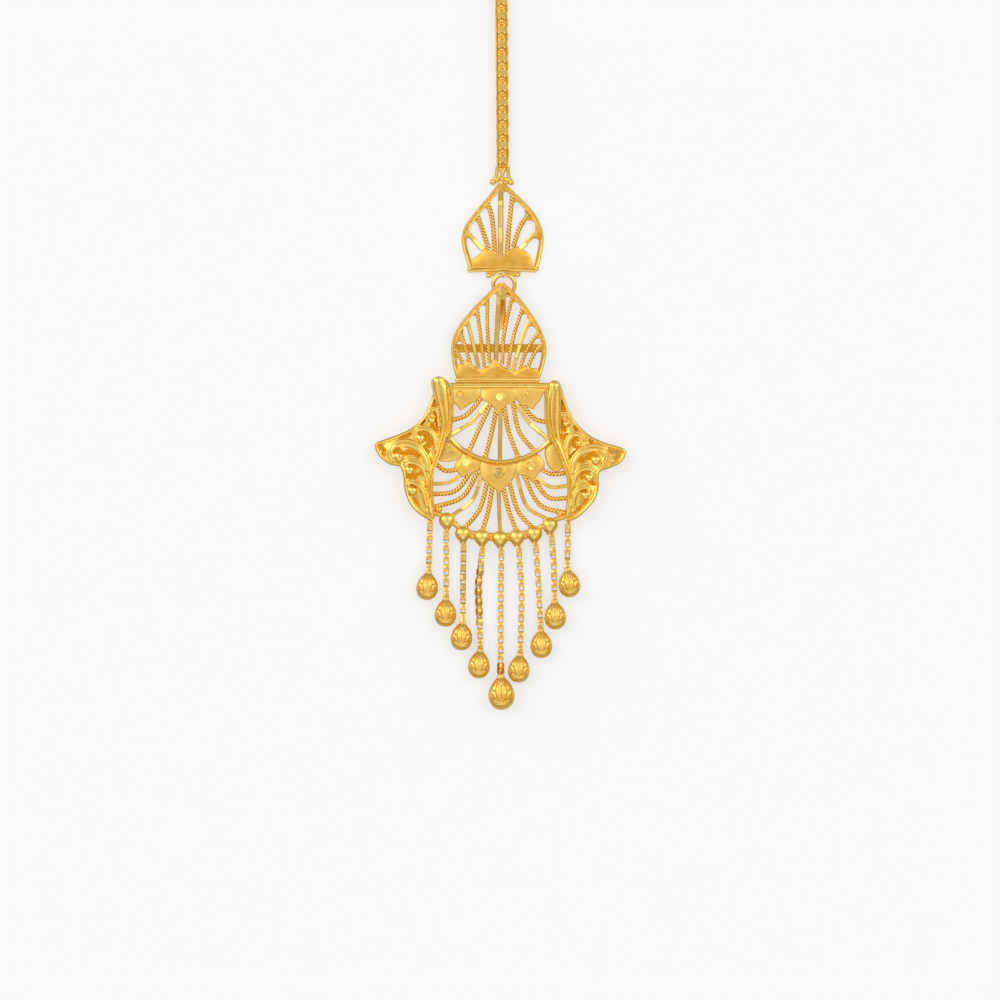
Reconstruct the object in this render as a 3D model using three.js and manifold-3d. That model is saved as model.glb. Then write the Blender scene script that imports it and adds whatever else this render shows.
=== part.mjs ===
// Maang tikka: a gold hair ornament, lying face up at full length.
// Units are millimetres. +X is to the right seen from the front, +Y runs up the pendant to the
// hook, and +Z is the front. Plan positions are measured from a datum on the pendant's centre
// line, 5.5 above the middle bead of its lower edge; heights are measured from the surface that
// the ornament lies on. The finished group is shifted so that its origin is the middle of the
// underside of its bounding box.

import * as THREE from 'three';
import { mergeVertices } from 'three/addons/utils/BufferGeometryUtils.js';
import Module from 'manifold-3d';

const wasm = await Module();
wasm.setup();

// Driving dimensions.
const GAP = 0.3; // clearance between pieces that hang in each other
const ROPE = 0.56; // thickness of a twisted rope wire
const STRIP = 0.6; // width of a flat polished wire
const STRIP_DEPTH = 0.5;
const RIM = 0.5; // thickness of a leaf frame's wire
const BAR = 0.86; // thickness of the cross bars
const BEAD = 2.26; // diameter of a domed bead on the lower edge
const DROP_WIDTH = 3.15;
const DROP_LENGTH = 3.85;
const DROP_DEPTH = 2.6;
const MIDDLE_DROP_SCALE = 1.2;
const BOX_CHAIN = 0.8; // width of a drop's box chain
const HEAD_CHAIN = 1.7; // width of the chain that lies in the parting of the hair
const HEAD_CHAIN_TOP = 75.5;
const HEAD_CHAIN_END = 47.6;
const HOOK_WIRE = 0.84;
const WELD = 0.004; // detail smaller than this is merged where solids join
const SHEET = 0.35; // thickness of the wings' back sheet and walls
const WING_HEIGHT = 2.6;

// Heights of the tiers' middles above the surface.
const TOP_LEAF_LEVEL = 0.36;
const SECOND_LEAF_LEVEL = 1.25;
const SECOND_LEAF_SLOPE = 0.045; // rise of the second leaf for each mm towards its tip
const UPPER_TIER_LEVEL = 1.55;
const LOWER_TIER_LEVEL = 1.15;
const CHAIN_LEVEL = 0.44;

const GOLD = { color: 0xe8a92f, roughness: 0.22, metalness: 1.0 };
const SATIN = { color: 0xe0a23a, roughness: 0.45, metalness: 1.0 };
const CHAIN = { color: 0xe3a83a, roughness: 0.28, metalness: 1.0 };

// ---------------------------------------------------------------- solids

function solid(geometry) {
  const bare = geometry.clone();
  bare.deleteAttribute('normal');
  bare.deleteAttribute('uv');
  const merged = mergeVertices(bare, 1e-4);
  return new wasm.Manifold(
    new wasm.Mesh({
      numProp: 3,
      vertProperties: new Float32Array(merged.attributes.position.array),
      triVerts: new Uint32Array(merged.index.array),
    }),
  );
}

function toGeometry(manifold) {
  const mesh = manifold.getMesh();
  const geometry = new THREE.BufferGeometry();
  geometry.setAttribute('position', new THREE.BufferAttribute(mesh.vertProperties, 3));
  geometry.setIndex(new THREE.BufferAttribute(mesh.triVerts, 1));
  return geometry;
}

// One solid of all the pieces, with slivers thinner than the weld left out.
function join(geometries) {
  const whole = geometries.map(solid).reduce((joined, next) => joined.add(next));
  return toGeometry(whole.simplify(WELD));
}

function cut(geometry, tool) {
  return toGeometry(solid(geometry).subtract(solid(tool)));
}

function polygonShape(radius, sides) {
  const corners = [];
  const reach = radius / Math.cos(Math.PI / sides);
  for (let i = 0; i < sides; i += 1) {
    const angle = ((i + 0.5) * 2 * Math.PI) / sides;
    corners.push(new THREE.Vector2(reach * Math.cos(angle), reach * Math.sin(angle)));
  }
  return new THREE.Shape(corners);
}

// A wire of round section through the given points.
function tube(points, thickness, steps, sides = 6) {
  const curve = new THREE.CatmullRomCurve3(points.map((p) => new THREE.Vector3(...p)));
  return new THREE.ExtrudeGeometry(polygonShape(thickness / 2, sides), {
    steps,
    extrudePath: curve,
    bevelEnabled: false,
  });
}

// A plan outline raised from one height to another.
function plate(outline, low, high) {
  const shape = new THREE.Shape(outline.map((p) => new THREE.Vector2(...p)));
  const geometry = new THREE.ExtrudeGeometry(shape, { depth: high - low, bevelEnabled: false });
  return geometry.translate(0, 0, low);
}

function smoothPlan(points, steps) {
  const curve = new THREE.SplineCurve(points.map((p) => new THREE.Vector2(...p)));
  return curve.getPoints(steps);
}

// A flat wire on edge: the path widened to both sides in plan and raised to its depth.
function strip(points, width, level, steps = 5, depth = STRIP_DEPTH) {
  const line = smoothPlan(points, steps);
  const left = [];
  const right = [];
  line.forEach((p, i) => {
    const before = line[Math.max(i - 1, 0)];
    const after = line[Math.min(i + 1, line.length - 1)];
    const along = after.clone().sub(before).normalize();
    left.push([p.x - (along.y * width) / 2, p.y + (along.x * width) / 2]);
    right.unshift([p.x + (along.y * width) / 2, p.y - (along.x * width) / 2]);
  });
  return plate(left.concat(right), level - depth / 2, level + depth / 2);
}

function ball(x, y, z, radius, around = 8, rows = 6) {
  return new THREE.SphereGeometry(radius, around, rows).translate(x, y, z);
}

// A pointed petal: full at its straight base, drawn in through a double curve to its tip.
function petal({ left, right, base, tipX, tipY }, low, high) {
  const drop = tipY - base;
  const reach = (right - left) * 0.14;
  const curves = [
    [left, base, left, base + 0.7 * drop, tipX - reach, tipY - 0.35 * drop, tipX, tipY],
    [tipX, tipY, tipX + reach, tipY - 0.35 * drop, right, base + 0.7 * drop, right, base],
  ];
  const outline = [];
  for (const [ax, ay, bx, by, cx, cy, dx, dy] of curves) {
    const side = new THREE.CubicBezierCurve(
      new THREE.Vector2(ax, ay),
      new THREE.Vector2(bx, by),
      new THREE.Vector2(cx, cy),
      new THREE.Vector2(dx, dy),
    );
    const points = side.getPoints(6).slice(0, -1);
    outline.push(...points.map((p) => [p.x, p.y]));
  }
  outline.push([right, base]);
  return plate(outline, low, high);
}

// Lifts a flat tier so that it rises steadily in +Y from a hinge line.
function slopeUp(geometry, fromY, slope) {
  const position = geometry.attributes.position;
  for (let i = 0; i < position.count; i += 1) {
    position.setZ(i, position.getZ(i) + (position.getY(i) - fromY) * slope);
  }
  return geometry;
}

function atLevel(points, level) {
  return points.map(([x, y]) => [x, y, level]);
}

// ---------------------------------------------------------------- top leaf

const TOP_RIM_LEFT = [[0.2, 45.3], [-1.3, 43.4], [-3.3, 41.0], [-4.8, 38.8], [-5.1, 36.7], [-4.1, 33.0]];
const TOP_RIM_RIGHT = [[0.2, 45.3], [3.1, 42.6], [5.0, 40.3], [5.9, 37.6], [5.5, 34.6], [5.0, 33.0]];
const TOP_ROPES = [
  { top: [-1.9, 43.0], middle: [-1.1, 40.0], foot: [-0.7, 35.0] },
  { top: [-3.4, 41.1], middle: [-2.5, 38.6], foot: [-1.6, 35.8] },
  { top: [1.8, 43.8], middle: [1.3, 39.2], foot: [1.0, 35.0] },
  { top: [4.1, 40.9], middle: [2.8, 38.9], foot: [1.9, 36.2] },
];
const TOP_STRIPS = [
  { top: [0.1, 45.0], middle: [0.1, 40.0], foot: [0.1, 34.8], width: 0.77 },
  { top: [-4.9, 38.5], middle: [-3.6, 37.1], foot: [-2.5, 35.8], width: STRIP },
  { top: [5.4, 38.5], middle: [4.1, 37.2], foot: [2.9, 35.9], width: STRIP },
];
const TOP_PLATE = [
  [-4.5, 33.2], [-4.1, 34.2], [-2.8, 35.6], [-2.3, 36.1], [-1.5, 36.0], [-1.0, 35.3], [0.1, 34.9],
  [0.9, 35.1], [1.6, 36.0], [2.2, 36.6], [2.9, 36.0], [4.3, 35.0], [4.7, 33.8], [4.9, 33.2],
];
const APEX_GRANULES = [[-1.05, 45.5], [-0.5, 45.85], [0.3, 46.0], [1.0, 45.8], [1.55, 45.45]];
const BASE_GRANULES = [[-1.6, 32.1], [2.5, 32.2]];
const SCALLOPS = [[-2.2, 33.0], [-1.6, 31.9], [-0.2, 32.0], [0.5, 32.3], [1.2, 32.0], [2.5, 31.9], [3.1, 33.0]];

const RING_CENTRE = { x: 0.57, y: 30.75, z: 0.94 };
const RING_RADIUS = 1.52;
const RING_WIRE = 0.54;
const RING_TILT = THREE.MathUtils.degToRad(6.2);

function ringEyelet() {
  const radius = RING_WIRE / 2 + GAP + 0.15;
  const top = RING_CENTRE.y + RING_RADIUS * Math.cos(RING_TILT);
  const height = RING_CENTRE.z + RING_RADIUS * Math.sin(RING_TILT);
  const eyelet = new THREE.TorusGeometry(radius, 0.14, 6, 14).rotateY(Math.PI / 2);
  return eyelet.translate(0.5, top, height);
}

// The two prongs that hold the chain's last link, and the ball that they spring from.
function chainEnd() {
  const reach = HEAD_CHAIN_END - 2 * GAP;
  return [
    tube([[0.2, 45.1, 0.4], [0.3, 46.4, 0.7], [-0.3, reach, 0.9]], 0.45, 4),
    tube([[0.2, 45.1, 0.4], [0.3, 46.4, 0.7], [0.9, reach, 0.9]], 0.45, 4),
  ];
}

function topLeaf() {
  const z = TOP_LEAF_LEVEL;
  return join([
    tube(atLevel(TOP_RIM_LEFT, z), RIM, 12),
    tube(atLevel(TOP_RIM_RIGHT, z), RIM, 12),
    ...TOP_ROPES.map((w) => tube(atLevel([w.top, w.middle, w.foot], z), ROPE, 3)),
    ...TOP_STRIPS.map((w) => strip([w.top, w.middle, w.foot], w.width, z, 3)),
    plate(TOP_PLATE, 0.15, 0.6),
    tube([[-4.4, 33.25, z], [0.3, 33.3, z], [5.3, 33.2, z]], RIM, 3),
    tube([[-4.4, 32.8, z + 0.1], [0.3, 32.95, z + 0.1], [5.3, 32.8, z + 0.1]], RIM, 3),
    ...APEX_GRANULES.map(([x, y]) => ball(x, y, 0.5, 0.46, 8, 5)),
    ...BASE_GRANULES.map(([x, y]) => ball(x, y, 0.4, 0.37, 8, 5)),
    plate(SCALLOPS, 0.12, 0.45),
    ringEyelet(),
    ...chainEnd(),
  ]);
}

function jumpRing() {
  const ring = new THREE.TorusGeometry(RING_RADIUS, RING_WIRE / 2, 8, 24).rotateX(RING_TILT);
  return ring.translate(RING_CENTRE.x, RING_CENTRE.y, RING_CENTRE.z);
}

// ---------------------------------------------------------------- second leaf

const LEAF_FOOT = 17.2;
const SECOND_RIM_LEFT = [
  [0.2, 30.9], [-1.0, 29.8], [-3.9, 26.9], [-5.8, 24.4], [-6.6, 22.2], [-6.5, 19.8], [-5.9, 17.4],
];
const SECOND_RIM_RIGHT = [
  [0.2, 30.9], [2.0, 29.3], [4.5, 26.1], [6.0, 23.2], [6.3, 21.2], [5.9, 19.0], [5.3, 17.4],
];
const SECOND_ROPES = [
  { top: [-1.8, 28.9], middle: [-1.8, 24.7], foot: [-1.5, 19.6] },
  { top: [-3.3, 27.4], middle: [-2.8, 23.5], foot: [-2.2, 18.8] },
  { top: [-5.6, 23.9], middle: [-4.9, 21.7], foot: [-4.2, 19.2] },
  { top: [-6.4, 21.7], middle: [-5.9, 20.7], foot: [-5.4, 19.6] },
  { top: [1.8, 29.3], middle: [0.6, 23.8], foot: [0.3, 19.4] },
  { top: [3.3, 27.6], middle: [1.9, 23.2], foot: [1.1, 18.9] },
  { top: [5.6, 24.1], middle: [3.9, 21.5], foot: [2.7, 18.4] },
  { top: [6.1, 22.5], middle: [4.9, 20.9], foot: [4.0, 19.0] },
];
const SECOND_STRIPS = [
  { top: [0.0, 30.5], middle: [-0.3, 26.6], foot: [-0.6, 19.8], width: 0.7 },
  { top: [-4.8, 25.9], middle: [-3.9, 22.6], foot: [-3.1, 18.9], width: STRIP },
  { top: [4.3, 25.9], middle: [2.9, 22.2], foot: [1.8, 18.4], width: STRIP },
];
const SECOND_PETALS = [
  { left: -6.1, right: -2.7, base: 17.3, tipX: -4.7, tipY: 20.0 },
  { left: -2.8, right: 2.1, base: 17.3, tipX: -0.7, tipY: 20.2 },
  { left: 2.0, right: 5.6, base: 17.3, tipX: 3.9, tipY: 19.1 },
];
const BACK_BAND = { left: -6.4, right: 6.1, low: 21.0, high: 22.4 };

// The loop behind the leaf's tip, which the jump ring's lower side lies in. Its side view is
// drawn in Y and Z and carried across the leaf.
function backLoop() {
  const side = new THREE.Shape(
    [[30.55, 1.7], [30.55, 0.0], [28.2, 0.0], [24.6, 1.2], [24.6, 1.5], [28.3, 0.2], [29.85, 0.2], [29.85, 1.7]]
      .map(([y, z]) => new THREE.Vector2(y, z)),
  );
  const loop = new THREE.ExtrudeGeometry(side, { depth: 0.7, bevelEnabled: false });
  const turn = new THREE.Matrix4().makeBasis(
    new THREE.Vector3(0, 1, 0),
    new THREE.Vector3(0, 0, 1),
    new THREE.Vector3(1, 0, 0),
  );
  return loop.applyMatrix4(turn).translate(0.1, 0, 0);
}

function secondLeaf() {
  const z = SECOND_LEAF_LEVEL;
  const band = [
    [BACK_BAND.left, BACK_BAND.low],
    [BACK_BAND.right, BACK_BAND.low],
    [BACK_BAND.right, BACK_BAND.high],
    [BACK_BAND.left, BACK_BAND.high],
  ];
  const tier = [
    tube(atLevel(SECOND_RIM_LEFT, z), RIM, 14),
    tube(atLevel(SECOND_RIM_RIGHT, z), RIM, 14),
    ...SECOND_ROPES.map((w) => tube(atLevel([w.top, w.middle, w.foot], z), ROPE, 3)),
    ...SECOND_STRIPS.map((w) => strip([w.top, w.middle, w.foot], w.width, z, 3)),
    ...SECOND_PETALS.map((p) => petal(p, z - 0.2, z + 0.35)),
    plate(band, z - 0.5, z - 0.2),
  ].map((piece) => slopeUp(piece, LEAF_FOOT, SECOND_LEAF_SLOPE));
  const foot = tube([[-6.2, LEAF_FOOT, z], [5.6, LEAF_FOOT, z]], BAR, 1, 8);
  return [...tier, foot, backLoop()];
}

// ---------------------------------------------------------------- upper tier of the body

const TOP_BAR_Y = 16.35;
const UPPER_PETALS = [
  { left: -6.7, right: -2.8, base: 16.1, tipX: -5.6, tipY: 12.9 },
  { left: -2.9, right: 1.9, base: 16.1, tipX: -0.2, tipY: 12.2 },
  { left: 1.8, right: 6.3, base: 16.1, tipX: 4.8, tipY: 13.2 },
];
const UPPER_ROPES = [
  { top: [-2.7, 14.5], middle: [-4.7, 12.2], foot: [-7.2, 11.3] },
  { top: [-1.3, 13.7], middle: [-2.8, 10.6], foot: [-4.4, 7.0] },
  { top: [-0.5, 12.9], middle: [-1.3, 9.2], foot: [-2.1, 6.1] },
  { top: [0.6, 13.4], middle: [1.2, 9.9], foot: [2.6, 6.1] },
  { top: [1.8, 14.1], middle: [2.7, 9.9], foot: [4.9, 7.0] },
  { top: [3.0, 14.0], middle: [4.8, 11.7], foot: [6.9, 11.1] },
];
const UPPER_STRIPS = [
  { top: [0.1, 12.9], middle: [0.0, 9.0], foot: [0.0, 5.6], width: STRIP },
  { top: [-1.8, 13.9], middle: [-3.9, 11.3], foot: [-7.2, 9.2], width: STRIP },
  { top: [2.4, 13.7], middle: [4.2, 11.0], foot: [6.8, 8.8], width: STRIP },
];
const DIVIDING_ARC = [[-7.4, 9.2], [-5.6, 7.4], [-2.9, 6.0], [0.0, 5.4], [2.9, 5.9], [5.5, 7.1], [7.4, 8.7]];

function upperTier() {
  const z = UPPER_TIER_LEVEL;
  return [
    tube([[-7.2, TOP_BAR_Y, 1.45], [7.1, TOP_BAR_Y, 1.45]], BAR, 1, 8),
    strip([[-6.9, 16.3], [-6.9, 12.0], [-7.3, 8.4]], 0.7, z, 2, 1.0),
    strip([[6.6, 16.3], [6.6, 12.0], [7.2, 8.4]], 0.7, z, 2, 1.0),
    ...UPPER_PETALS.map((p) => petal(p, z - 0.2, z + 0.35)),
    ...UPPER_ROPES.map((w) => tube(atLevel([w.top, w.middle, w.foot], z), ROPE, 3)),
    ...UPPER_STRIPS.map((w) => strip([w.top, w.middle, w.foot], w.width, z, 3)),
    strip(DIVIDING_ARC, 0.62, z, 8, 0.9),
  ];
}

// ---------------------------------------------------------------- lower tier of the body

const LOWER_PETALS = [
  { left: -8.9, right: -5.9, base: 8.4, tipX: -8.0, tipY: 5.2 },
  { left: -6.6, right: -2.6, base: 7.0, tipX: -5.2, tipY: 3.0 },
  { left: -2.7, right: 2.3, base: 6.0, tipX: -0.3, tipY: 1.0 },
  { left: 2.2, right: 6.5, base: 6.9, tipX: 4.9, tipY: 2.4 },
  { left: 6.3, right: 9.0, base: 7.9, tipX: 8.1, tipY: 4.0 },
];
const LOWER_ROPES = [
  { top: [-1.0, 2.4], middle: [-1.7, -1.7], foot: [-2.6, -4.6] },
  { top: [-1.7, 3.1], middle: [-2.9, -1.3], foot: [-5.2, -4.2] },
  { top: [-3.2, 4.0], middle: [-5.4, 0.4], foot: [-9.7, -1.1] },
  { top: [-4.0, 4.2], middle: [-6.4, 1.3], foot: [-10.0, 0.8] },
  { top: [-6.0, 4.4], middle: [-7.8, 4.2], foot: [-9.4, 5.4] },
  { top: [0.4, 2.1], middle: [1.2, -1.4], foot: [2.4, -4.6] },
  { top: [1.2, 2.9], middle: [2.6, -1.6], foot: [4.9, -4.2] },
  { top: [3.2, 4.0], middle: [5.6, -0.6], foot: [9.6, -1.9] },
  { top: [4.7, 3.2], middle: [6.9, 0.4], foot: [10.0, 0.3] },
  { top: [6.0, 4.3], middle: [7.5, 3.7], foot: [9.8, 3.9] },
];
const LOWER_STRIPS = [
  { top: [-0.2, 1.4], middle: [-0.1, -1.8], foot: [0.0, -4.9], width: STRIP },
  { top: [-2.6, 3.8], middle: [-3.9, 0.1], foot: [-7.2, -2.5], width: STRIP },
  { top: [-5.3, 3.8], middle: [-7.3, 2.5], foot: [-10.1, 2.3], width: STRIP },
  { top: [2.3, 3.8], middle: [3.8, -0.8], foot: [7.0, -2.9], width: STRIP },
  { top: [5.0, 3.3], middle: [7.3, 1.9], foot: [10.2, 2.1], width: STRIP },
];
const BEADS = [[-7.6, -2.9], [-5.3, -4.8], [-2.6, -5.3], [0.0, -5.5], [2.4, -5.3], [4.9, -4.8], [7.1, -3.6]];
const LOWER_EDGE = [[-9.6, -1.7], [-7.4, -2.2], [-5.3, -4.0], [-2.6, -4.4], [2.4, -4.4], [4.9, -4.0], [7.1, -2.8], [9.6, -2.2]];

function lowerTier() {
  const z = LOWER_TIER_LEVEL;
  return [
    ...LOWER_PETALS.map((p) => petal(p, z - 0.3, z + 0.4)),
    ...LOWER_ROPES.map((w) => tube(atLevel([w.top, w.middle, w.foot], z), ROPE, 4)),
    ...LOWER_STRIPS.map((w) => strip([w.top, w.middle, w.foot], w.width, z, 4)),
    ...BEADS.map(([x, y]) => ball(x, y, BEAD / 2, BEAD / 2, 10, 8)),
    strip(LOWER_EDGE, 0.7, z, 12, 0.4),
  ];
}

// ---------------------------------------------------------------- scrolled wings

// Outlines run from the knob down the outer side, round the tip and back up the inner side.
const LEFT_WING = {
  outline: [
    [-7.2, 16.6], [-8.9, 17.7], [-9.8, 17.0], [-9.5, 15.1], [-10.2, 13.4], [-11.2, 12.0], [-12.6, 10.7],
    [-14.3, 9.8], [-17.4, 8.4], [-17.9, 7.8], [-16.9, 5.9], [-14.3, 4.7], [-13.6, 2.0], [-12.0, -1.1],
    [-10.0, -2.8], [-9.2, -2.5], [-9.5, 1.1], [-9.4, 4.4], [-8.7, 5.6], [-8.2, 7.9], [-6.9, 11.0], [-6.9, 14.6],
  ],
  midrib: [[-8.7, 16.9], [-8.0, 13.5], [-8.1, 10.5], [-9.1, 7.5], [-10.0, 4.4], [-10.1, 1.0], [-9.8, -1.9]],
  scrolls: [
    [[-8.6, 13.2], [-9.7, 13.0], [-10.5, 12.2], [-10.2, 11.4], [-9.5, 11.3]],
    [[-9.0, 7.6], [-9.5, 9.6], [-11.2, 10.6], [-12.3, 9.8], [-11.6, 8.8]],
    [[-10.0, 4.3], [-11.0, 6.9], [-13.7, 8.3], [-16.1, 7.0], [-14.6, 6.1]],
    [[-10.2, 2.4], [-11.2, 5.2], [-12.9, 6.0], [-13.9, 5.0], [-12.9, 4.3]],
    [[-10.1, -0.3], [-11.3, 2.2], [-12.5, 2.9], [-13.3, 2.0], [-12.4, 1.3]],
  ],
};
const RIGHT_WING = {
  outline: [
    [6.9, 16.4], [7.7, 17.2], [8.4, 16.8], [9.0, 15.1], [9.9, 13.2], [11.2, 10.8], [12.8, 9.2], [14.8, 8.0],
    [17.4, 7.4], [18.0, 6.7], [17.2, 5.4], [15.8, 4.4], [14.1, 3.9], [14.0, 2.0], [13.4, 0.0], [12.2, -1.6],
    [10.5, -2.8], [9.3, -3.0], [9.5, 0.3], [9.7, 2.8], [9.2, 4.9], [8.2, 7.2], [7.1, 9.4], [6.6, 12.6],
  ],
  midrib: [[7.7, 16.4], [7.4, 13.0], [7.9, 10.2], [9.0, 7.2], [10.0, 4.5], [10.2, 1.5], [9.8, -2.1]],
  scrolls: [
    [[8.0, 12.0], [9.3, 12.4], [10.2, 11.4], [9.9, 10.3], [9.4, 10.9]],
    [[9.3, 6.0], [9.6, 8.8], [10.8, 9.7], [12.1, 8.6], [11.2, 7.7]],
    [[10.1, 4.0], [11.0, 6.6], [13.5, 7.8], [15.4, 6.3], [13.8, 5.6]],
    [[10.3, 1.9], [10.9, 4.2], [12.5, 5.0], [13.5, 4.1], [12.7, 3.4]],
    [[10.2, -0.6], [10.8, 1.6], [12.3, 2.4], [13.1, 1.2], [12.2, 0.7]],
  ],
};

// Moves each corner of an outline inwards by a wall's thickness.
function inset(outline, thickness) {
  const area = THREE.ShapeUtils.area(outline.map(([x, y]) => new THREE.Vector2(x, y)));
  const inward = area > 0 ? 1 : -1;
  return outline.map(([x, y], i) => {
    const before = outline[(i + outline.length - 1) % outline.length];
    const after = outline[(i + 1) % outline.length];
    const run = Math.hypot(after[0] - before[0], after[1] - before[1]);
    const side = (inward * thickness) / run;
    return [x - (after[1] - before[1]) * side, y + (after[0] - before[0]) * side];
  });
}

function wing({ outline, midrib, scrolls }) {
  const whole = plate(outline, 0, WING_HEIGHT);
  const hollow = plate(inset(outline, SHEET), SHEET, WING_HEIGHT + 1);
  return [
    cut(whole, hollow),
    tube(atLevel(midrib, WING_HEIGHT - 0.1), 1.3, 8),
    ...scrolls.map((points) => tube(atLevel(points, WING_HEIGHT - 0.2), 0.8, 6)),
  ];
}

// ---------------------------------------------------------------- drops, chains and hook

// Each box chain runs from a bead or a wing's lower tip to its drop. start, middle and end are
// the chain's own route in plan; drop is the middle of the pear-shaped drop that hangs on it.
const HANGERS = [
  { start: [-10.0, -3.2], middle: [-10.1, -6.5], end: [-10.2, -10.1], drop: [-10.4, -12.4] },
  { start: [-7.7, -4.4], middle: [-7.7, -9.0], end: [-7.7, -13.6], drop: [-7.8, -16.2] },
  { start: [-5.2, -6.3], middle: [-5.3, -11.8], end: [-5.3, -17.3], drop: [-5.5, -19.6] },
  { start: [-2.5, -6.8], middle: [-3.1, -12.5], end: [-2.8, -21.0], drop: [-3.0, -23.6] },
  { start: [0.2, -7.0], middle: [0.1, -15.7], end: [0.1, -24.6], drop: [0.2, -27.7] },
  { start: [2.7, -6.8], middle: [3.1, -13.5], end: [2.9, -21.6], drop: [2.7, -24.2] },
  { start: [5.1, -6.3], middle: [5.5, -12.0], end: [5.8, -18.1], drop: [5.9, -20.7] },
  { start: [7.4, -5.1], middle: [7.7, -9.5], end: [7.8, -14.3], drop: [7.9, -16.6] },
  { start: [9.7, -3.4], middle: [9.7, -6.5], end: [9.6, -9.6], drop: [9.9, -12.0] },
];
const MIDDLE_DROP = 4;

function dropChain({ start, middle, end }) {
  const fall = new THREE.Vector2(...start).lerp(new THREE.Vector2(...middle), 0.6);
  const rise = new THREE.Vector2(...middle).lerp(new THREE.Vector2(...end), 0.5);
  const route = [
    [...start, 0.9],
    [fall.x, fall.y, CHAIN_LEVEL],
    [...middle, CHAIN_LEVEL],
    [rise.x, rise.y, CHAIN_LEVEL],
    [...end, 0.85],
  ];
  return tube(route, BOX_CHAIN, 8, 8);
}

// Half of the drop's side view: radius at each height, both as shares of the drop's size.
const PEAR = [
  { up: -0.5, out: 0.0 },
  { up: -0.46, out: 0.22 },
  { up: -0.34, out: 0.4 },
  { up: -0.1, out: 0.5 },
  { up: 0.14, out: 0.42 },
  { up: 0.34, out: 0.26 },
  { up: 0.5, out: 0.14 },
  { up: 0.5, out: 0.0 },
];

function pearDrop({ drop, end }, size) {
  const profile = PEAR.map(({ up, out }) => new THREE.Vector2(out * DROP_WIDTH, up * DROP_LENGTH));
  const lean = Math.atan2(drop[0] - end[0], end[1] - drop[1]);
  const pear = new THREE.LatheGeometry(profile, 12).scale(size, size, (size * DROP_DEPTH) / DROP_WIDTH);
  return pear.rotateZ(lean).translate(drop[0], drop[1], (size * DROP_DEPTH) / 2);
}

function headChain() {
  const z = HEAD_CHAIN / 2;
  const route = [[0.15, HEAD_CHAIN_TOP, z], [0.3, 61.0, z], [0.4, HEAD_CHAIN_END, z]];
  return tube(route, HEAD_CHAIN, 8, 8);
}

// A plain wire hook, with an eye for the chain at its lower end.
function hairHook() {
  const z = HOOK_WIRE / 2;
  const eye = { x: 0.15, y: HEAD_CHAIN_TOP + GAP + 1.2, radius: 0.8 };
  const shankFoot = eye.y + eye.radius;
  const shankTop = shankFoot + 5.4;
  const bow = 1.5;
  const route = [[eye.x, shankFoot, z], [eye.x, shankTop, z]];
  for (let i = 1; i < 8; i += 1) {
    const angle = Math.PI - (i * Math.PI) / 8;
    route.push([eye.x + bow + bow * Math.cos(angle), shankTop + bow * Math.sin(angle), z]);
  }
  route.push([eye.x + 2 * bow, shankTop, z], [eye.x + 2 * bow + 0.3, shankTop - 4.2, z]);
  const ring = new THREE.TorusGeometry(eye.radius, HOOK_WIRE / 2, 8, 16).translate(eye.x, eye.y, z);
  return join([ring, tube(route, HOOK_WIRE, 22, 8)]);
}

// ---------------------------------------------------------------- assembly

function piece(name, geometry, finish) {
  const mesh = new THREE.Mesh(geometry, new THREE.MeshStandardMaterial(finish));
  mesh.name = name;
  return mesh;
}

function pendant() {
  return join([...secondLeaf(), ...upperTier(), ...lowerTier(), ...wing(LEFT_WING), ...wing(RIGHT_WING)]);
}

const tikka = new THREE.Group();
tikka.add(piece('hair_hook', hairHook(), GOLD));
tikka.add(piece('head_chain', headChain(), CHAIN));
tikka.add(piece('top_leaf', topLeaf(), GOLD));
tikka.add(piece('jump_ring', jumpRing(), GOLD));
tikka.add(piece('pendant', pendant(), GOLD));
HANGERS.forEach((hanger, i) => {
  const size = i === MIDDLE_DROP ? MIDDLE_DROP_SCALE : 1;
  tikka.add(piece(`drop_chain_${i + 1}`, dropChain(hanger), CHAIN));
  tikka.add(piece(`drop_${i + 1}`, pearDrop(hanger, size), SATIN));
});

const box = new THREE.Box3().setFromObject(tikka, true);
tikka.position.set(-(box.min.x + box.max.x) / 2, -(box.min.y + box.max.y) / 2, -box.min.z);

export default tikka;
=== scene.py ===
"""The looks of a gold maang tikka: filigree leaves, fan tiers, scrolled wings, chains and drops.

Every shape is worked out in millimetres on the part's own plan, whose origin is the middle of the
upper edge of the lower fan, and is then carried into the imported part's frame, in metres.
"""

import math

import bpy
import numpy as np
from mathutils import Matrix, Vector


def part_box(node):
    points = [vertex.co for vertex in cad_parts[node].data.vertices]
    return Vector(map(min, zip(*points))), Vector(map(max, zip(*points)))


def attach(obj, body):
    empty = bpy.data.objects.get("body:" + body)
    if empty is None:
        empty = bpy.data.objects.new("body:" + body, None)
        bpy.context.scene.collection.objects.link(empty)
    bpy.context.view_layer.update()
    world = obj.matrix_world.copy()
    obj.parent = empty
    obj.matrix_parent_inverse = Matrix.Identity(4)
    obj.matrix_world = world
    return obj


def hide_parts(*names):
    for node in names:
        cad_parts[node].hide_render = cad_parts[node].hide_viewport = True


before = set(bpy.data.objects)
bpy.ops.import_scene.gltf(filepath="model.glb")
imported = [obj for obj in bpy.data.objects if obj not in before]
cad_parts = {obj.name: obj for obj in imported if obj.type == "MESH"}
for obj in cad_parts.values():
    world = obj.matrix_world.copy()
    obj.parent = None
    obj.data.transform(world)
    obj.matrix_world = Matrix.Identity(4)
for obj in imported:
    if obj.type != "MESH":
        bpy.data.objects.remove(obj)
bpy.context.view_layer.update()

MM = 0.001
RING_CENTRE = np.array([0.57, 30.75, 0.94])  # the jump ring's middle on the plan

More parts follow.
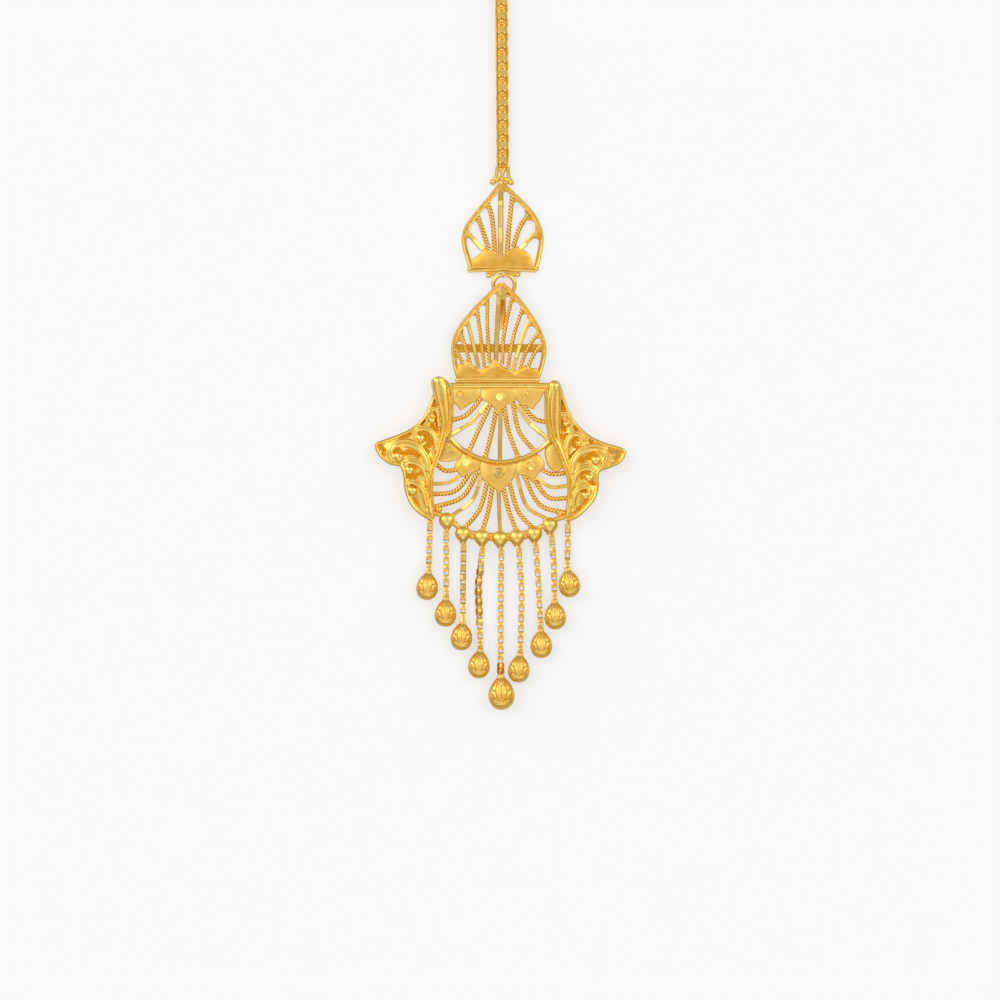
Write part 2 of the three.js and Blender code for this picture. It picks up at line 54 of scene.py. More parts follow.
ROPE = 0.74  # thickness of a twisted rope wire
ROPE_LAY = 1.38  # length in which a strand goes once round
RIM_WIDTH = 0.70
BEAD_RADIUS = 1.16

TOP_LEAF_LEVEL = 0.36
SECOND_LEAF_LEVEL = 1.25
SECOND_LEAF_SLOPE = 0.045  # rise for each mm towards the leaf's tip
LEAF_FOOT = 17.2
UPPER_TIER_LEVEL = 1.55
LOWER_TIER_LEVEL = 1.15
CHAIN_LEVEL = 0.44

ring_low, ring_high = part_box("jump_ring")
ring_middle = (np.array(ring_low) + np.array(ring_high)) / 2
PLAN_ORIGIN = ring_middle - RING_CENTRE * MM
PLAN_ORIGIN[2] = 0.0


# ---------------------------------------------------------------- surfaces


def outward(points, corners, sizes):
    """Turns a closed surface so that its faces point outwards: its volume, which is the sum over
    faces of the middle's dot product with the area vector, has to be positive."""
    starts = np.concatenate([[0], np.cumsum(sizes)[:-1]])
    following = np.roll(corners, -1)
    ends = starts + sizes - 1
    following[ends] = corners[starts]
    area = np.add.reduceat(np.cross(points[corners], points[following]), starts, axis=0)
    middle = np.add.reduceat(points[corners], starts, axis=0) / sizes[:, None]
    if np.sum(middle * area) < 0:
        return points, corners[::-1].copy(), sizes[::-1].copy()
    return points, corners, sizes


def quads_between(count, around, joined):
    """Corner numbers of the quads between neighbouring rings of points."""
    i = np.arange(count if joined else count - 1)[:, None]
    j = np.arange(around)[None, :]
    following_ring = (i + 1) % count
    following_point = (j + 1) % around
    parts = (
        i * around + j,
        i * around + following_point,
        following_ring * around + following_point,
        following_ring * around + j,
    )
    return np.stack([np.broadcast_to(p, (len(i), around)) for p in parts], axis=-1).reshape(-1)


def skin(rings, joined=False):
    """A closed surface through rings of points, with a flat cap at each end unless the last ring
    joins the first."""
    count, around = rings.shape[:2]
    corners = quads_between(count, around, joined)
    sizes = np.full(len(corners) // 4, 4)
    if not joined:
        first = np.arange(around)[::-1]
        last = (count - 1) * around + np.arange(around)
        corners = np.concatenate([corners, first, last])
        sizes = np.append(sizes, [around, around])
    return outward(rings.reshape(-1, 3), corners, sizes)


def skin_to_poles(rings, first_pole, last_pole):
    """A closed surface through rings of points that ends in one point on each side."""
    count, around = rings.shape[:2]
    j = np.arange(around)
    following = (j + 1) % around
    first = count * around
    last_ring = (count - 1) * around
    fan = np.stack([np.full(around, first), following, j], axis=-1)
    far_fan = np.stack([np.full(around, first + 1), last_ring + j, last_ring + following], axis=-1)
    corners = np.concatenate([quads_between(count, around, False), fan.ravel(), far_fan.ravel()])
    sizes = np.concatenate([np.full((count - 1) * around, 4), np.full(2 * around, 3)])
    points = np.vstack([rings.reshape(-1, 3), first_pole, last_pole])
    return outward(points, corners, sizes)


def levelled(points, level):
    """Plan points given a height."""
    return [(x, y, level) for x, y in points]


def smooth_route(points, step, closed=False):
    """Points spaced evenly along a smooth curve through the given ones. Between two of them the
    curve is a cubic whose slope at each is half the step between its neighbours."""
    p = np.array(points, dtype=float)
    if closed:
        ends = np.vstack([p[-1], p, p[0], p[1]])
        spans = len(p)
    else:
        ends = np.vstack([2 * p[0] - p[1], p, 2 * p[-1] - p[-2]])
        spans = len(p) - 1
    t = np.linspace(0, spans, 48 * spans + 1)
    k = np.minimum(t.astype(int), spans - 1)
    f = (t - k)[:, None]
    a, b, c, d = ends[k], ends[k + 1], ends[k + 2], ends[k + 3]
    bend = (2 * a - 5 * b + 4 * c - d) * f**2 + (3 * b - a - 3 * c + d) * f**3
    curve = 0.5 * (2 * b + (c - a) * f + bend)
    run = np.concatenate([[0], np.cumsum(np.linalg.norm(np.diff(curve, axis=0), axis=1))])
    at = np.linspace(0, run[-1], max(int(round(run[-1] / step)), 2) + 1)
    route = np.stack([np.interp(at, run, curve[:, i]) for i in range(3)], axis=1)
    return route[:-1] if closed else route


def unit(vectors):
    """Vectors made one long."""
    return vectors / np.maximum(np.linalg.norm(vectors, axis=-1, keepdims=True), 1e-9)


def frames_of(route, closed=False):
    """Direction, side and top at each point of a route. The direction is the step from the point
    before to the point after, the side is level and square to it, the top is square to both."""
    if closed:
        along = unit(np.roll(route, -1, axis=0) - np.roll(route, 1, axis=0))
    else:
        along = unit(np.gradient(route, axis=0))
    side = unit(np.cross(along, [0.0, 0.0, 1.0]))
    return along, side, np.cross(side, along)


def carry(route, profile, wide=1.0, high=1.0, roll=0.0, closed=False):
    """A profile carried along a route. Its first number, times the width there, is laid along the
    side, and its second, times the height there, along the top, after a turn by the roll."""
    _, side, top = frames_of(route, closed)
    count = len(route)
    wide = np.broadcast_to(wide, count)[:, None]
    high = np.broadcast_to(high, count)[:, None]
    roll = np.broadcast_to(roll, count)[:, None]
    across = profile[:, 0] * wide
    upward = profile[:, 1] * high
    a = (across * np.cos(roll) - upward * np.sin(roll))[..., None]
    b = (across * np.sin(roll) + upward * np.cos(roll))[..., None]
    return skin(route[:, None] + a * side[:, None] + b * top[:, None], closed)


def circle(sides):
    """Points of a circle one across."""
    turn = np.arange(sides) * 2 * np.pi / sides
    return np.stack([np.cos(turn), np.sin(turn)], axis=1) / 2


def wire(points, thickness, step=0.25, sides=12, closed=False):
    """A round wire along a smooth route."""
    return carry(smooth_route(points, step, closed), circle(sides), thickness, thickness, closed=closed)


def turned(heights, radii, centre, axis, sides=24, squash=1.0):
    """A turned shape: at each height along the axis lies a circle of that radius, squashed along
    the second direction. A radius of zero at an end is a point."""
    axis = unit(np.array(axis, dtype=float))
    helper = np.array([0.0, 0.0, 1.0]) if abs(axis[2]) < 0.9 else np.array([0.0, 1.0, 0.0])
    side = unit(np.cross(axis, helper))
    top = np.cross(side, axis)
    turn = np.arange(sides) * 2 * np.pi / sides
    spoke = np.cos(turn)[:, None] * side + squash * np.sin(turn)[:, None] * top
    heights = np.array(heights, dtype=float)
    radii = np.array(radii, dtype=float)
    middle = np.array(centre) + heights[:, None] * axis
    rings = middle[:, None] + radii[:, None, None] * spoke[None]
    return skin_to_poles(rings[1:-1], middle[0], middle[-1])


def lump(centre, radii, rows=9, sides=14):
    """A rounded grain: an egg with its own half length along each direction."""
    swing = np.linspace(0, np.pi, rows + 1)[1:-1, None]
    turn = np.arange(sides)[None, :] * 2 * np.pi / sides
    spread = np.stack(
        [
            np.sin(swing) * np.cos(turn),
            np.sin(swing) * np.sin(turn),
            np.broadcast_to(np.cos(swing), (rows - 1, sides)),
        ],
        axis=-1,
    )
    radii = np.array(radii) * np.ones(3)
    centre = np.array(centre)
    rings = centre + spread * radii
    lift = np.array([0.0, 0.0, radii[2]])
    return skin_to_poles(rings, centre + lift, centre - lift)


def torus(centre, radius, thickness, first, second, sides=12, count=48, gap=0.0, start=0.0):
    """A ring of round wire in the plane of two directions. A gap leaves it open at its start."""
    first = unit(np.array(first, dtype=float))
    second = unit(np.array(second, dtype=float))
    normal = np.cross(first, second)
    if gap:
        turn = start + np.linspace(gap / 2, 2 * np.pi - gap / 2, count)
    else:
        turn = start + np.arange(count) * 2 * np.pi / count
    spoke = np.cos(turn)[:, None] * first + np.sin(turn)[:, None] * second
    rim = circle(sides) * thickness
    offset = rim[None, :, :1] * spoke[:, None] + rim[None, :, 1:] * normal
    return skin(np.array(centre) + radius * spoke[:, None] + offset, joined=not gap)


def plate(outline, low, high):
    """A sheet cut to an outline."""
    p = np.array(outline, dtype=float)
    return skin(np.array([np.column_stack([p, np.full(len(p), level)]) for level in (low, high)]))


def domed(outline, level, thickness, dome, step=0.12):
    """A cut sheet that swells towards its middle. Each ring is the outline drawn in towards the
    middle by a share, at a height of the dome times the root of 1 - (1 - share) squared."""
    p = smooth_route(levelled(outline, 0.0), step, closed=True)[:, :2]
    middle = (p.max(axis=0) + p.min(axis=0)) / 2
    share = np.array([0.0, 0.03, 0.09, 0.2, 0.36, 0.56, 0.8])
    plan = p[None] + share[:, None, None] * (middle - p)[None]
    height = level + dome * np.sqrt(1 - (1 - share) ** 2)
    upper = np.concatenate([plan, np.broadcast_to(height[:, None, None], plan.shape[:2] + (1,))], axis=-1)
    under = np.column_stack([p, np.full(len(p), level - thickness)])
    rings = np.concatenate([under[None], upper])
    return skin_to_poles(rings, np.append(middle, level - thickness), np.append(middle, level + dome))


def raised(surface, low_y, slope):
    """A surface lifted so that it rises steadily beyond a hinge line."""
    points, corners, sizes = surface
    lifted = points.copy()
    lifted[:, 2] += (points[:, 1] - low_y) * slope
    return lifted, corners, sizes


# ---------------------------------------------------------------- materials


PATCH_SCALE = 900.0  # of the soft patches of tone in the gold


def add_node(nodes, kind, values=None):
    """A new node of a kind, with the given inputs set."""
    node = nodes.new(kind)
    for name, value in (values or {}).items():
        node.inputs[name].default_value = value
    return node


def new_material(name):
    """An empty material with a shader, its nodes and its links."""
    material = bpy.data.materials.new(name)
    material.use_nodes = True
    nodes = material.node_tree.nodes
    nodes.clear()
    shader = nodes.new("ShaderNodeBsdfPrincipled")
    output = nodes.new("ShaderNodeOutputMaterial")
    material.node_tree.links.new(shader.outputs["BSDF"], output.inputs["Surface"])
    return material, nodes, material.node_tree.links, shader


def gold(name, pale, deep, smooth, rough, grain, grain_depth, stretch=(1.0, 1.0, 1.0)):
    """Gold whose colour drifts between two tones in soft patches, whose polish wanders between two
    roughnesses, and whose skin has a grain of the given depth in metres."""
    material, nodes, links, shader = new_material(name)
    place = nodes.new("ShaderNodeTexCoord")
    scale = add_node(nodes, "ShaderNodeMapping", {"Scale": stretch})
    links.new(place.outputs["Object"], scale.inputs["Vector"])

    patches = add_node(nodes, "ShaderNodeTexNoise", {"Scale": PATCH_SCALE, "Detail": 3.0})
    links.new(place.outputs["Object"], patches.inputs["Vector"])
    tones = nodes.new("ShaderNodeValToRGB")
    low, high = tones.color_ramp.elements
    low.position = 0.32
    low.color = (*deep, 1.0)
    high.position = 0.62
    high.color = (*pale, 1.0)
    links.new(patches.outputs["Fac"], tones.inputs["Fac"])
    links.new(tones.outputs["Color"], shader.inputs["Base Color"])

    specks = add_node(nodes, "ShaderNodeTexNoise", {"Scale": grain, "Detail": 4.0})
    links.new(scale.outputs["Vector"], specks.inputs["Vector"])
    reach = {"From Min": 0.3, "From Max": 0.7, "To Min": smooth, "To Max": rough}
    polish = add_node(nodes, "ShaderNodeMapRange", reach)
    links.new(specks.outputs["Fac"], polish.inputs["Value"])
    links.new(polish.outputs["Result"], shader.inputs["Roughness"])

    bump = add_node(nodes, "ShaderNodeBump", {"Strength": 1.0, "Distance": grain_depth})
    links.new(specks.outputs["Fac"], bump.inputs["Height"])
    links.new(bump.outputs["Normal"], shader.inputs["Normal"])
    shader.inputs["Metallic"].default_value = 1.0
    return material


def painted_shade_below(material, tone, low, high):
    """Painted shade: where a carving lies deep, between two heights in metres, its gold goes over to a
    darker, redder tone that stands in for the shade in its hollows.
    """
    nodes, links = material.node_tree.nodes, material.node_tree.links
    shader = nodes["Principled BSDF"]
    upper = shader.inputs["Base Color"].links[0].from_socket
    place = nodes.new("ShaderNodeTexCoord")
    parts = nodes.new("ShaderNodeSeparateXYZ")
    links.new(place.outputs["Object"], parts.inputs["Vector"])
    depth = add_node(nodes, "ShaderNodeMapRange", {"From Min": low, "From Max": high})
    links.new(parts.outputs["Z"], depth.inputs["Value"])
    blend = nodes.new("ShaderNodeMix")
    blend.data_type = "RGBA"
    share, first, second = blend.inputs[0], blend.inputs[6], blend.inputs[7]
    first.default_value = (*tone, 1.0)
    links.new(depth.outputs["Result"], share)
    links.new(upper, second)
    links.new(blend.outputs[2], shader.inputs["Base Color"])


# Each gold has its name, its pale and its deep tone, its roughness where smooth and where rough, and
# its grain with the depth of that in metres. Satin ones have their grain drawn out one way.

BRUSHED_ACROSS = (2.2, 0.5, 1.0)
BRUSHED_ALONG = (0.5, 2.2, 1.0)

POLISHED = gold("polished_gold", (0.94, 0.645, 0.18), (0.90, 0.555, 0.12), 0.10, 0.20, 2600.0, 6e-6)
WIRE_GOLD = gold("wire_gold", (0.93, 0.63, 0.17), (0.87, 0.53, 0.11), 0.14, 0.26, 3500.0, 6e-6)
SATIN = gold(
    "satin_gold", (0.91, 0.59, 0.145), (0.87, 0.52, 0.10), 0.28, 0.42, 3000.0, 1.2e-5, BRUSHED_ACROSS
)
AMBER = gold(
    "amber_satin_gold", (0.89, 0.505, 0.095), (0.81, 0.42, 0.055), 0.28, 0.42, 3000.0, 1.4e-5, BRUSHED_ALONG
)
# Painted shade: this dark gold stands in for the shade between and behind wires. It colours the cores
# between rope strands, the band and strap behind the second leaf, and the strip under the head chain.
PAINTED_SHADE_GOLD = gold("painted_shade_gold", (0.80, 0.40, 0.05), (0.68, 0.31, 0.03), 0.30, 0.42, 3000.0, 1e-5)
SOLDER = gold("solder_gold", (0.93, 0.60, 0.155), (0.85, 0.49, 0.09), 0.18, 0.36, 2400.0, 3e-5)
CHAIN_GOLD = gold("chain_gold", (0.93, 0.67, 0.22), (0.88, 0.60, 0.15), 0.18, 0.30, 4000.0, 1e-5)
DROP_CHAIN_GOLD = gold("drop_chain_gold", (0.86, 0.54, 0.155), (0.81, 0.48, 0.11), 0.18, 0.30, 4000.0, 1e-5)
BEAD_GOLD = gold("bead_gold", (0.94, 0.66, 0.18), (0.91, 0.58, 0.125), 0.20, 0.30, 2600.0, 5e-6)
CARVED = gold("carved_gold", (0.94, 0.665, 0.175), (0.91, 0.60, 0.13), 0.12, 0.22, 2600.0, 8e-6)
# Painted shade in the wings' pits and hollows: below these heights the carved gold darkens to a deep
# orange.
painted_shade_below(CARVED, tone=(1.0, 0.42, 0.012), low=0.0013, high=0.0017)
POLISHED_DROP = gold(
    "engraved_drop_gold", (0.885, 0.565, 0.138), (0.84, 0.50, 0.092), 0.27, 0.38, 2600.0, 1e-5
)


# ---------------------------------------------------------------- pieces


def placed(name, data):
    """A new object of the scene, at the origin."""
    obj = bpy.data.objects.new(name, data)
    bpy.context.scene.collection.objects.link(obj)
    return obj


def make_piece(name, surfaces, material, nodes, sharp=50.0):
    """One object from closed surfaces on the plan, carried into the part's frame in metres."""
    points, corners, sizes, shift = [], [], [], 0
    for surface_points, surface_corners, surface_sizes in surfaces:
        points.append(surface_points)
        corners.append(surface_corners + shift)
        sizes.append(surface_sizes)
        shift += len(surface_points)
    points = np.vstack(points) * MM + PLAN_ORIGIN
    corners = np.concatenate(corners)
    sizes = np.concatenate(sizes)
    mesh = bpy.data.meshes.new(name)
    mesh.vertices.add(len(points))
    mesh.vertices.foreach_set("co", points.ravel())
    mesh.loops.add(len(corners))
    mesh.loops.foreach_set("vertex_index", corners.astype(np.int32))
    mesh.polygons.add(len(sizes))
    starts = np.concatenate([[0], np.cumsum(sizes)[:-1]])
    mesh.polygons.foreach_set("loop_start", starts.astype(np.int32))
    mesh.polygons.foreach_set("use_smooth", np.ones(len(sizes), dtype=bool))
    mesh.update(calc_edges=True)
    mesh.validate()
    mesh.set_sharp_from_angle(angle=math.radians(sharp))
    mesh.materials.append(material)
    obj = placed(name, mesh)
    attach(obj, "root")
    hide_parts(*nodes)


def rope(points, thickness=ROPE, lay=ROPE_LAY):
    """Three round strands laid round a core. A strand's middle goes once round the route in each
    lay, at a distance that leaves a fine gap, and each strand is a third of a turn ahead of the
    one before. Its section is widened along the winding, because the strand crosses it aslant."""
    route = smooth_route(points, 0.065)
    _, side, top = frames_of(route)
    run = np.arange(len(route)) * np.linalg.norm(route[1] - route[0])
    strand = thickness * 0.205
    reach = thickness * 0.29
    slant = math.sqrt(1 + (2 * math.pi * reach / lay) ** 2)
    turn = np.arange(9) * 2 * np.pi / 9
    strands = []
    for lead in (0.0, 1.0, 2.0):
        phase = (2 * np.pi * (run / lay + lead / 3))[:, None]
        out = np.cos(phase) * side + np.sin(phase) * top
        wound = -np.sin(phase) * side + np.cos(phase) * top
        middle = route + reach * out
        ring = (
            middle[:, None]
            + strand * np.cos(turn)[None, :, None] * out[:, None]
            + strand * slant * np.sin(turn)[None, :, None] * wound[:, None]
        )
        strands.append(skin(ring))
    return strands


def make_ropes(name, lines, thickness, nodes):
    """The ropes of one tier, and dark cores under them in painted shade, which show between their strands
    as the shade in the gaps.
    """
    strands = [s for line in lines for s in rope(line, thickness)]
    make_piece(f"{name}_ropes", strands, WIRE_GOLD, nodes)
    # Painted shade: dark wire cores under the strands stand in for the shade in the gaps between them.
    cores = [wire(line, thickness * 0.52, 0.2, 8) for line in lines]
    make_piece(f"{name}_rope_shade_cores", cores, PAINTED_SHADE_GOLD, nodes)


# Profiles are one wide and one high, about the wire's own line: along the side, along the top.
FLAT_PROFILE = np.array([(-0.5, -0.5), (0.5, -0.5), (0.5, 0.26), (0.36, 0.5), (-0.36, 0.5), (-0.5, 0.26)])


def flat_wire(points, width, depth, rolls):
    """A flat wire whose face is cut in stretches: each stretch is turned about the wire's own line
    by its angle in degrees, so that each catches other light."""
    route = smooth_route(points, 0.1)
    share = np.linspace(0, 1, len(route))
    stretch = np.minimum((share * len(rolls)).astype(int), len(rolls) - 1)
    roll = np.radians(np.array(rolls, dtype=float))[stretch]
    return carry(route, FLAT_PROFILE, width, depth, roll)


RIM_PROFILE = np.array(
    [
        (-0.5, -0.5), (0.5, -0.5), (0.52, 0.1), (0.46, 0.42), (0.36, 0.55), (0.24, 0.45), (0.14, 0.18),
        (0.06, 0.14), (-0.1, 0.34), (-0.28, 0.38), (-0.42, 0.2), (-0.5, -0.1),
    ]
)


def rim(points, outer):
    """A leaf's frame wire: a fine raised line along the outer edge and a rounded one beside it."""
    profile = RIM_PROFILE * np.array([outer, 1.0])
    return carry(smooth_route(points, 0.16), profile, RIM_WIDTH, 0.55)


def fillet(corner, first, second, low, high):
    """Solder in the corner between two wires: a sheet with a hollow edge, which is a parabola from
    the end of the first reach to the end of the second, drawn towards the corner, and a round
    lip along that edge."""
    corner = np.array(corner)
    first = corner + np.array(first)
    second = corner + np.array(second)
    pull = corner + 0.2 * (first + second - 2 * corner)
    t = np.linspace(0, 1, 11)[:, None]
    edge = (1 - t) ** 2 * first + 2 * t * (1 - t) * pull + t**2 * second
    lip = carry(np.column_stack([edge, np.full(11, (low + high) / 2)]), circle(8), 0.3, high - low + 0.1)
    return [plate(np.vstack([corner, edge]), low, high - 0.03), lip]


def rim_fillets(wires, rims, level, reach=1.2):
    """Solder on both sides of each wire where it meets a rim: the rim's direction there is that
    of its nearest stretch."""
    line = np.vstack([smooth_route(levelled(r, 0.0), 0.1)[:, :2] for r in rims])
    made = []
    for ends in wires:
        top = np.array(ends[0])
        fall = np.array(ends[1]) - top
        fall = fall / np.linalg.norm(fall)
        gap = np.linalg.norm(line - top, axis=1)
        near = int(np.argmin(gap))
        before, after = line[max(near - 3, 0)], line[min(near + 3, len(line) - 1)]
        run = (after - before) / np.linalg.norm(after - before)
        for way in (1.0, -1.0):
            lean = float(np.dot(run * way, fall))
            size = reach * (0.55 + 1.2 * max(lean, 0.0))
            made += fillet(top, run * way * size, fall * size, level - 0.16, level + 0.18)
    return made


def stud(x, y, level, radius, height, lean=(0.0, 0.0)):
    """A flat stud with a slightly dished face and a bevelled edge, in a groove and a fine collar."""
    heights = [-0.6, -0.6, 0.02, 0.12, 0.10, -0.05, -0.05, 0.55, 0.92, 1.0, 0.9, 0.8, 0.8]
    radii = [0.0, 1.3, 1.3, 1.24, 1.16, 1.1, 1.02, 1.0, 0.93, 0.82, 0.6, 0.25, 0.0]
    axis = (lean[0], lean[1], 1.0)
    return turned([h * height for h in heights], [r * radius for r in radii], (x, y, level), axis, 26)


# ---------------------------------------------------------------- top leaf

TOP_RIM_LEFT = [(0.2, 45.3), (-1.3, 43.4), (-3.3, 41.0), (-4.8, 38.8), (-5.1, 36.7), (-4.1, 33.0)]
TOP_RIM_RIGHT = [(0.2, 45.3), (3.1, 42.6), (5.0, 40.3), (5.9, 37.6), (5.5, 34.6), (5.0, 33.0)]
TOP_ROPES = [
    [(-1.9, 43.0), (-1.1, 40.0), (-0.7, 35.0)],
    [(-3.4, 41.1), (-2.5, 38.6), (-1.6, 35.8)],
    [(1.8, 43.8), (1.3, 39.2), (1.0, 35.0)],
    [(4.1, 40.9), (2.8, 38.9), (1.9, 36.2)],
]
TOP_FLATS = [
    ([(-4.9, 38.5), (-3.6, 37.1), (-2.5, 35.8)], [9, 13]),
    ([(5.4, 38.5), (4.1, 37.2), (2.9, 35.9)], [10, 14, -12]),
]
TOP_CENTRE = [(0.1, 45.0), (0.1, 40.0), (0.1, 34.8)]
TOP_CENTRE_ROLLS = [4, 4, 4, -11, 9, 9, 9, 9, -9, -9, -9, -5, -5, -5]
TOP_APEX = [
    (0.2, 45.4), (-0.5, 44.5), (-1.05, 43.75), (-0.75, 43.9), (-0.3, 44.35), (-0.1, 43.6), (0.35, 43.6),
    (0.5, 44.0), (1.0, 44.15), (1.45, 44.0), (1.6, 44.1), (0.9, 44.9),
]
APEX_GRAINS = [(-1.05, 45.5), (-0.5, 45.85), (0.3, 46.0), (1.0, 45.8), (1.55, 45.45)]
BASE_GRAINS = [(-1.6, 32.1), (2.5, 32.2)]
TOP_PLATE = [
    (-4.15, 33.2), (-4.1, 34.2), (-2.85, 35.25), (-2.45, 35.85), (-1.85, 36.1), (-1.4, 35.6), (-0.75, 35.1),
    (0.15, 34.75), (0.7, 35.1), (1.65, 35.95), (2.3, 36.3), (3.05, 35.9), (4.05, 35.3), (4.5, 34.6),
    (4.6, 33.2), (2.4, 33.1), (0.2, 33.1), (-2.0, 33.1),
]
SCALLOPS = [
    (-2.2, 33.0), (-2.0, 32.3), (-1.4, 31.95), (-0.8, 32.1), (-0.4, 32.5), (0.5, 32.7),
    (1.2, 32.4), (1.7, 32.0), (2.4, 31.95), (2.9, 32.3), (3.1, 33.0),
]


def make_top_leaf():
    """The upper leaf: its frame, rope wires and flat wires, a satin plate at its foot, grains at both
    ends, an eye for the ring below and prongs that reach up to the chain."""
    z = TOP_LEAF_LEVEL
    nodes = ["top_leaf"]
    rims = [rim(levelled(TOP_RIM_LEFT, z), -1.0), rim(levelled(TOP_RIM_RIGHT, z), 1.0)]
    make_piece("top_leaf_rim", rims, POLISHED, nodes)
    make_ropes("top_leaf", [levelled(ends, z) for ends in TOP_ROPES], ROPE, nodes)
    flats = [flat_wire(levelled(line, z), 0.62, 0.42, rolls) for line, rolls in TOP_FLATS]
    flats.append(flat_wire(levelled(TOP_CENTRE, z), 0.77, 0.46, TOP_CENTRE_ROLLS))
    make_piece("top_leaf_flat_wires", flats, POLISHED, nodes, sharp=24.0)
    apex = plate(TOP_APEX, z - 0.15, z + 0.2)
    wires = TOP_ROPES + [line for line, _ in TOP_FLATS]
    solder = rim_fillets(wires, [TOP_RIM_LEFT, TOP_RIM_RIGHT], z, 1.4)
    make_piece("top_leaf_solder", [apex, *solder], SOLDER, nodes)
    make_piece("top_leaf_plate", [domed(TOP_PLATE, z + 0.04, 0.2, 0.3)], AMBER, nodes)
    bars = [
        wire([(-4.4, 33.3, z), (0.3, 33.35, z), (5.3, 33.25, z)], 0.42),
        wire([(-4.5, 32.78, z + 0.12), (0.3, 33.0, z + 0.12), (5.2, 32.8, z + 0.12)], 0.5),
        lump((5.25, 33.1, z + 0.1), (0.34, 0.32, 0.3)),
        lump((-4.45, 33.0, z + 0.08), (0.26, 0.34, 0.3)),
    ]
    make_piece("top_leaf_base_bars", bars, POLISHED, nodes)
    grains = [lump((x, y, 0.5), (0.46, 0.44, 0.46)) for x, y in APEX_GRAINS]
    grains += [lump((x, y, 0.42), (0.4, 0.37, 0.38)) for x, y in BASE_GRAINS]
    grains += [lump((0.15, 45.35, 0.62), (0.3, 0.42, 0.26)), lump((0.85, 45.4, 0.5), (0.45, 0.24, 0.3))]
    make_piece("top_leaf_grains", grains, POLISHED, nodes)
    make_piece("top_leaf_scallops", [plate(SCALLOPS, 0.12, 0.42)], SATIN, nodes)
    prongs = [
        wire([(0.28, 46.0, 0.8), (0.25, 46.6, 0.95), (-0.1, 47.5, 1.05)], 0.42, 0.1),
        wire([(0.28, 46.0, 0.8), (0.35, 46.6, 0.95), (0.78, 47.5, 1.05)], 0.42, 0.1),
        wire([(-0.9, 45.8, 0.6), (-0.52, 46.4, 0.8), (-0.38, 47.7, 0.95)], 0.5, 0.1),
        wire([(1.45, 45.8, 0.6), (1.22, 46.4, 0.8), (1.15, 47.7, 0.95)], 0.5, 0.1),
        domed([(-0.35, 47.75), (1.1, 47.75), (0.75, 46.9), (0.35, 46.1), (-0.05, 46.9)], 0.7, 0.25, 0.25),
        torus((0.5, 32.26, 1.1), 0.43, 0.24, (0, 1, 0), (0, 0, 1), 10, 32),
    ]
    make_piece("top_leaf_prongs", prongs, POLISHED, nodes)


def make_jump_ring():
    """The ring lies a little aslant, so that its upper side clears the leaf above it, and has the
    fine cut where it was closed."""
    tilt = math.radians(6.2)
    up = (0.0, math.cos(tilt), math.sin(tilt))
    ring = torus(RING_CENTRE, 1.52, 0.6, (1, 0, 0), up, 14, 72, gap=0.035, start=math.radians(84))
    make_piece("jump_ring_wire", [ring], POLISHED, ["jump_ring"])


# ---------------------------------------------------------------- second leaf

SECOND_RIM_LEFT = [
    (0.2, 30.9), (-1.0, 29.8), (-3.9, 26.9), (-5.8, 24.4), (-6.6, 22.2), (-6.5, 19.8), (-5.9, 17.4),
]
SECOND_RIM_RIGHT = [
    (0.2, 30.9), (2.0, 29.3), (4.5, 26.1), (6.0, 23.2), (6.3, 21.2), (5.9, 19.0), (5.3, 17.4),
]
SECOND_ROPES = [
    [(-1.8, 28.9), (-1.8, 24.7), (-1.5, 19.6)],
    [(-3.3, 27.4), (-2.8, 23.5), (-2.2, 18.8)],
    [(-5.6, 23.9), (-4.9, 21.7), (-4.2, 19.2)],
    [(-6.4, 21.7), (-5.9, 20.7), (-5.4, 19.6)],
    [(1.8, 29.3), (0.6, 23.8), (0.3, 19.4)],
    [(3.3, 27.6), (1.9, 23.2), (1.1, 18.9)],
    [(5.6, 24.1), (3.9, 21.5), (2.7, 18.4)],
    [(6.1, 22.5), (4.9, 20.9), (4.0, 19.0)],
]
SECOND_CENTRE = [(0.0, 30.5), (-0.3, 26.6), (-0.6, 19.8)]
SECOND_CENTRE_ROLLS = [9, -8, 3, 3, 5, -5, -5, 2]
SECOND_APEX = [
    (0.2, 30.9), (-0.7, 30.0), (-1.35, 29.3), (-0.9, 29.45), (-0.55, 29.9), (-0.35, 29.2), (0.0, 28.6),
    (0.6, 28.6), (0.9, 29.4), (1.2, 29.9), (1.6, 29.6), (0.8, 30.4),
]
STRAP_ROUTE = [
    (0.45, 24.4, 1.25), (0.45, 26.4, 0.95), (0.45, 28.3, 0.32), (0.45, 29.4, 0.14), (0.45, 30.3, 0.3),
    (0.45, 30.5, 0.95), (0.45, 30.35, 1.6),
]
SECOND_FLATS = [
    ([(-4.8, 25.9), (-3.9, 22.6), (-3.1, 18.9)], [8, 12, 12, 4]),
    ([(4.3, 25.9), (2.9, 22.2), (1.8, 18.4)], [14, 14, -12, 9]),
]
SECOND_PETALS = [
    [(-6.1, 17.5), (-6.05, 19.25), (-5.3, 19.55), (-4.8, 20.1), (-4.2, 19.55), (-3.45, 19.0),
     (-2.65, 18.65), (-2.6, 17.5)],
    [(-2.6, 17.5), (-2.6, 18.7), (-1.8, 19.1), (-1.35, 19.55), (-0.75, 20.25), (-0.15, 19.55), (0.7, 19.0),
     (1.9, 18.4), (2.0, 17.5)],
    [(2.0, 17.5), (2.05, 18.35), (2.8, 18.8), (3.55, 19.2), (4.0, 19.3), (4.55, 18.9), (5.5, 18.7),
     (5.45, 17.5)],
]


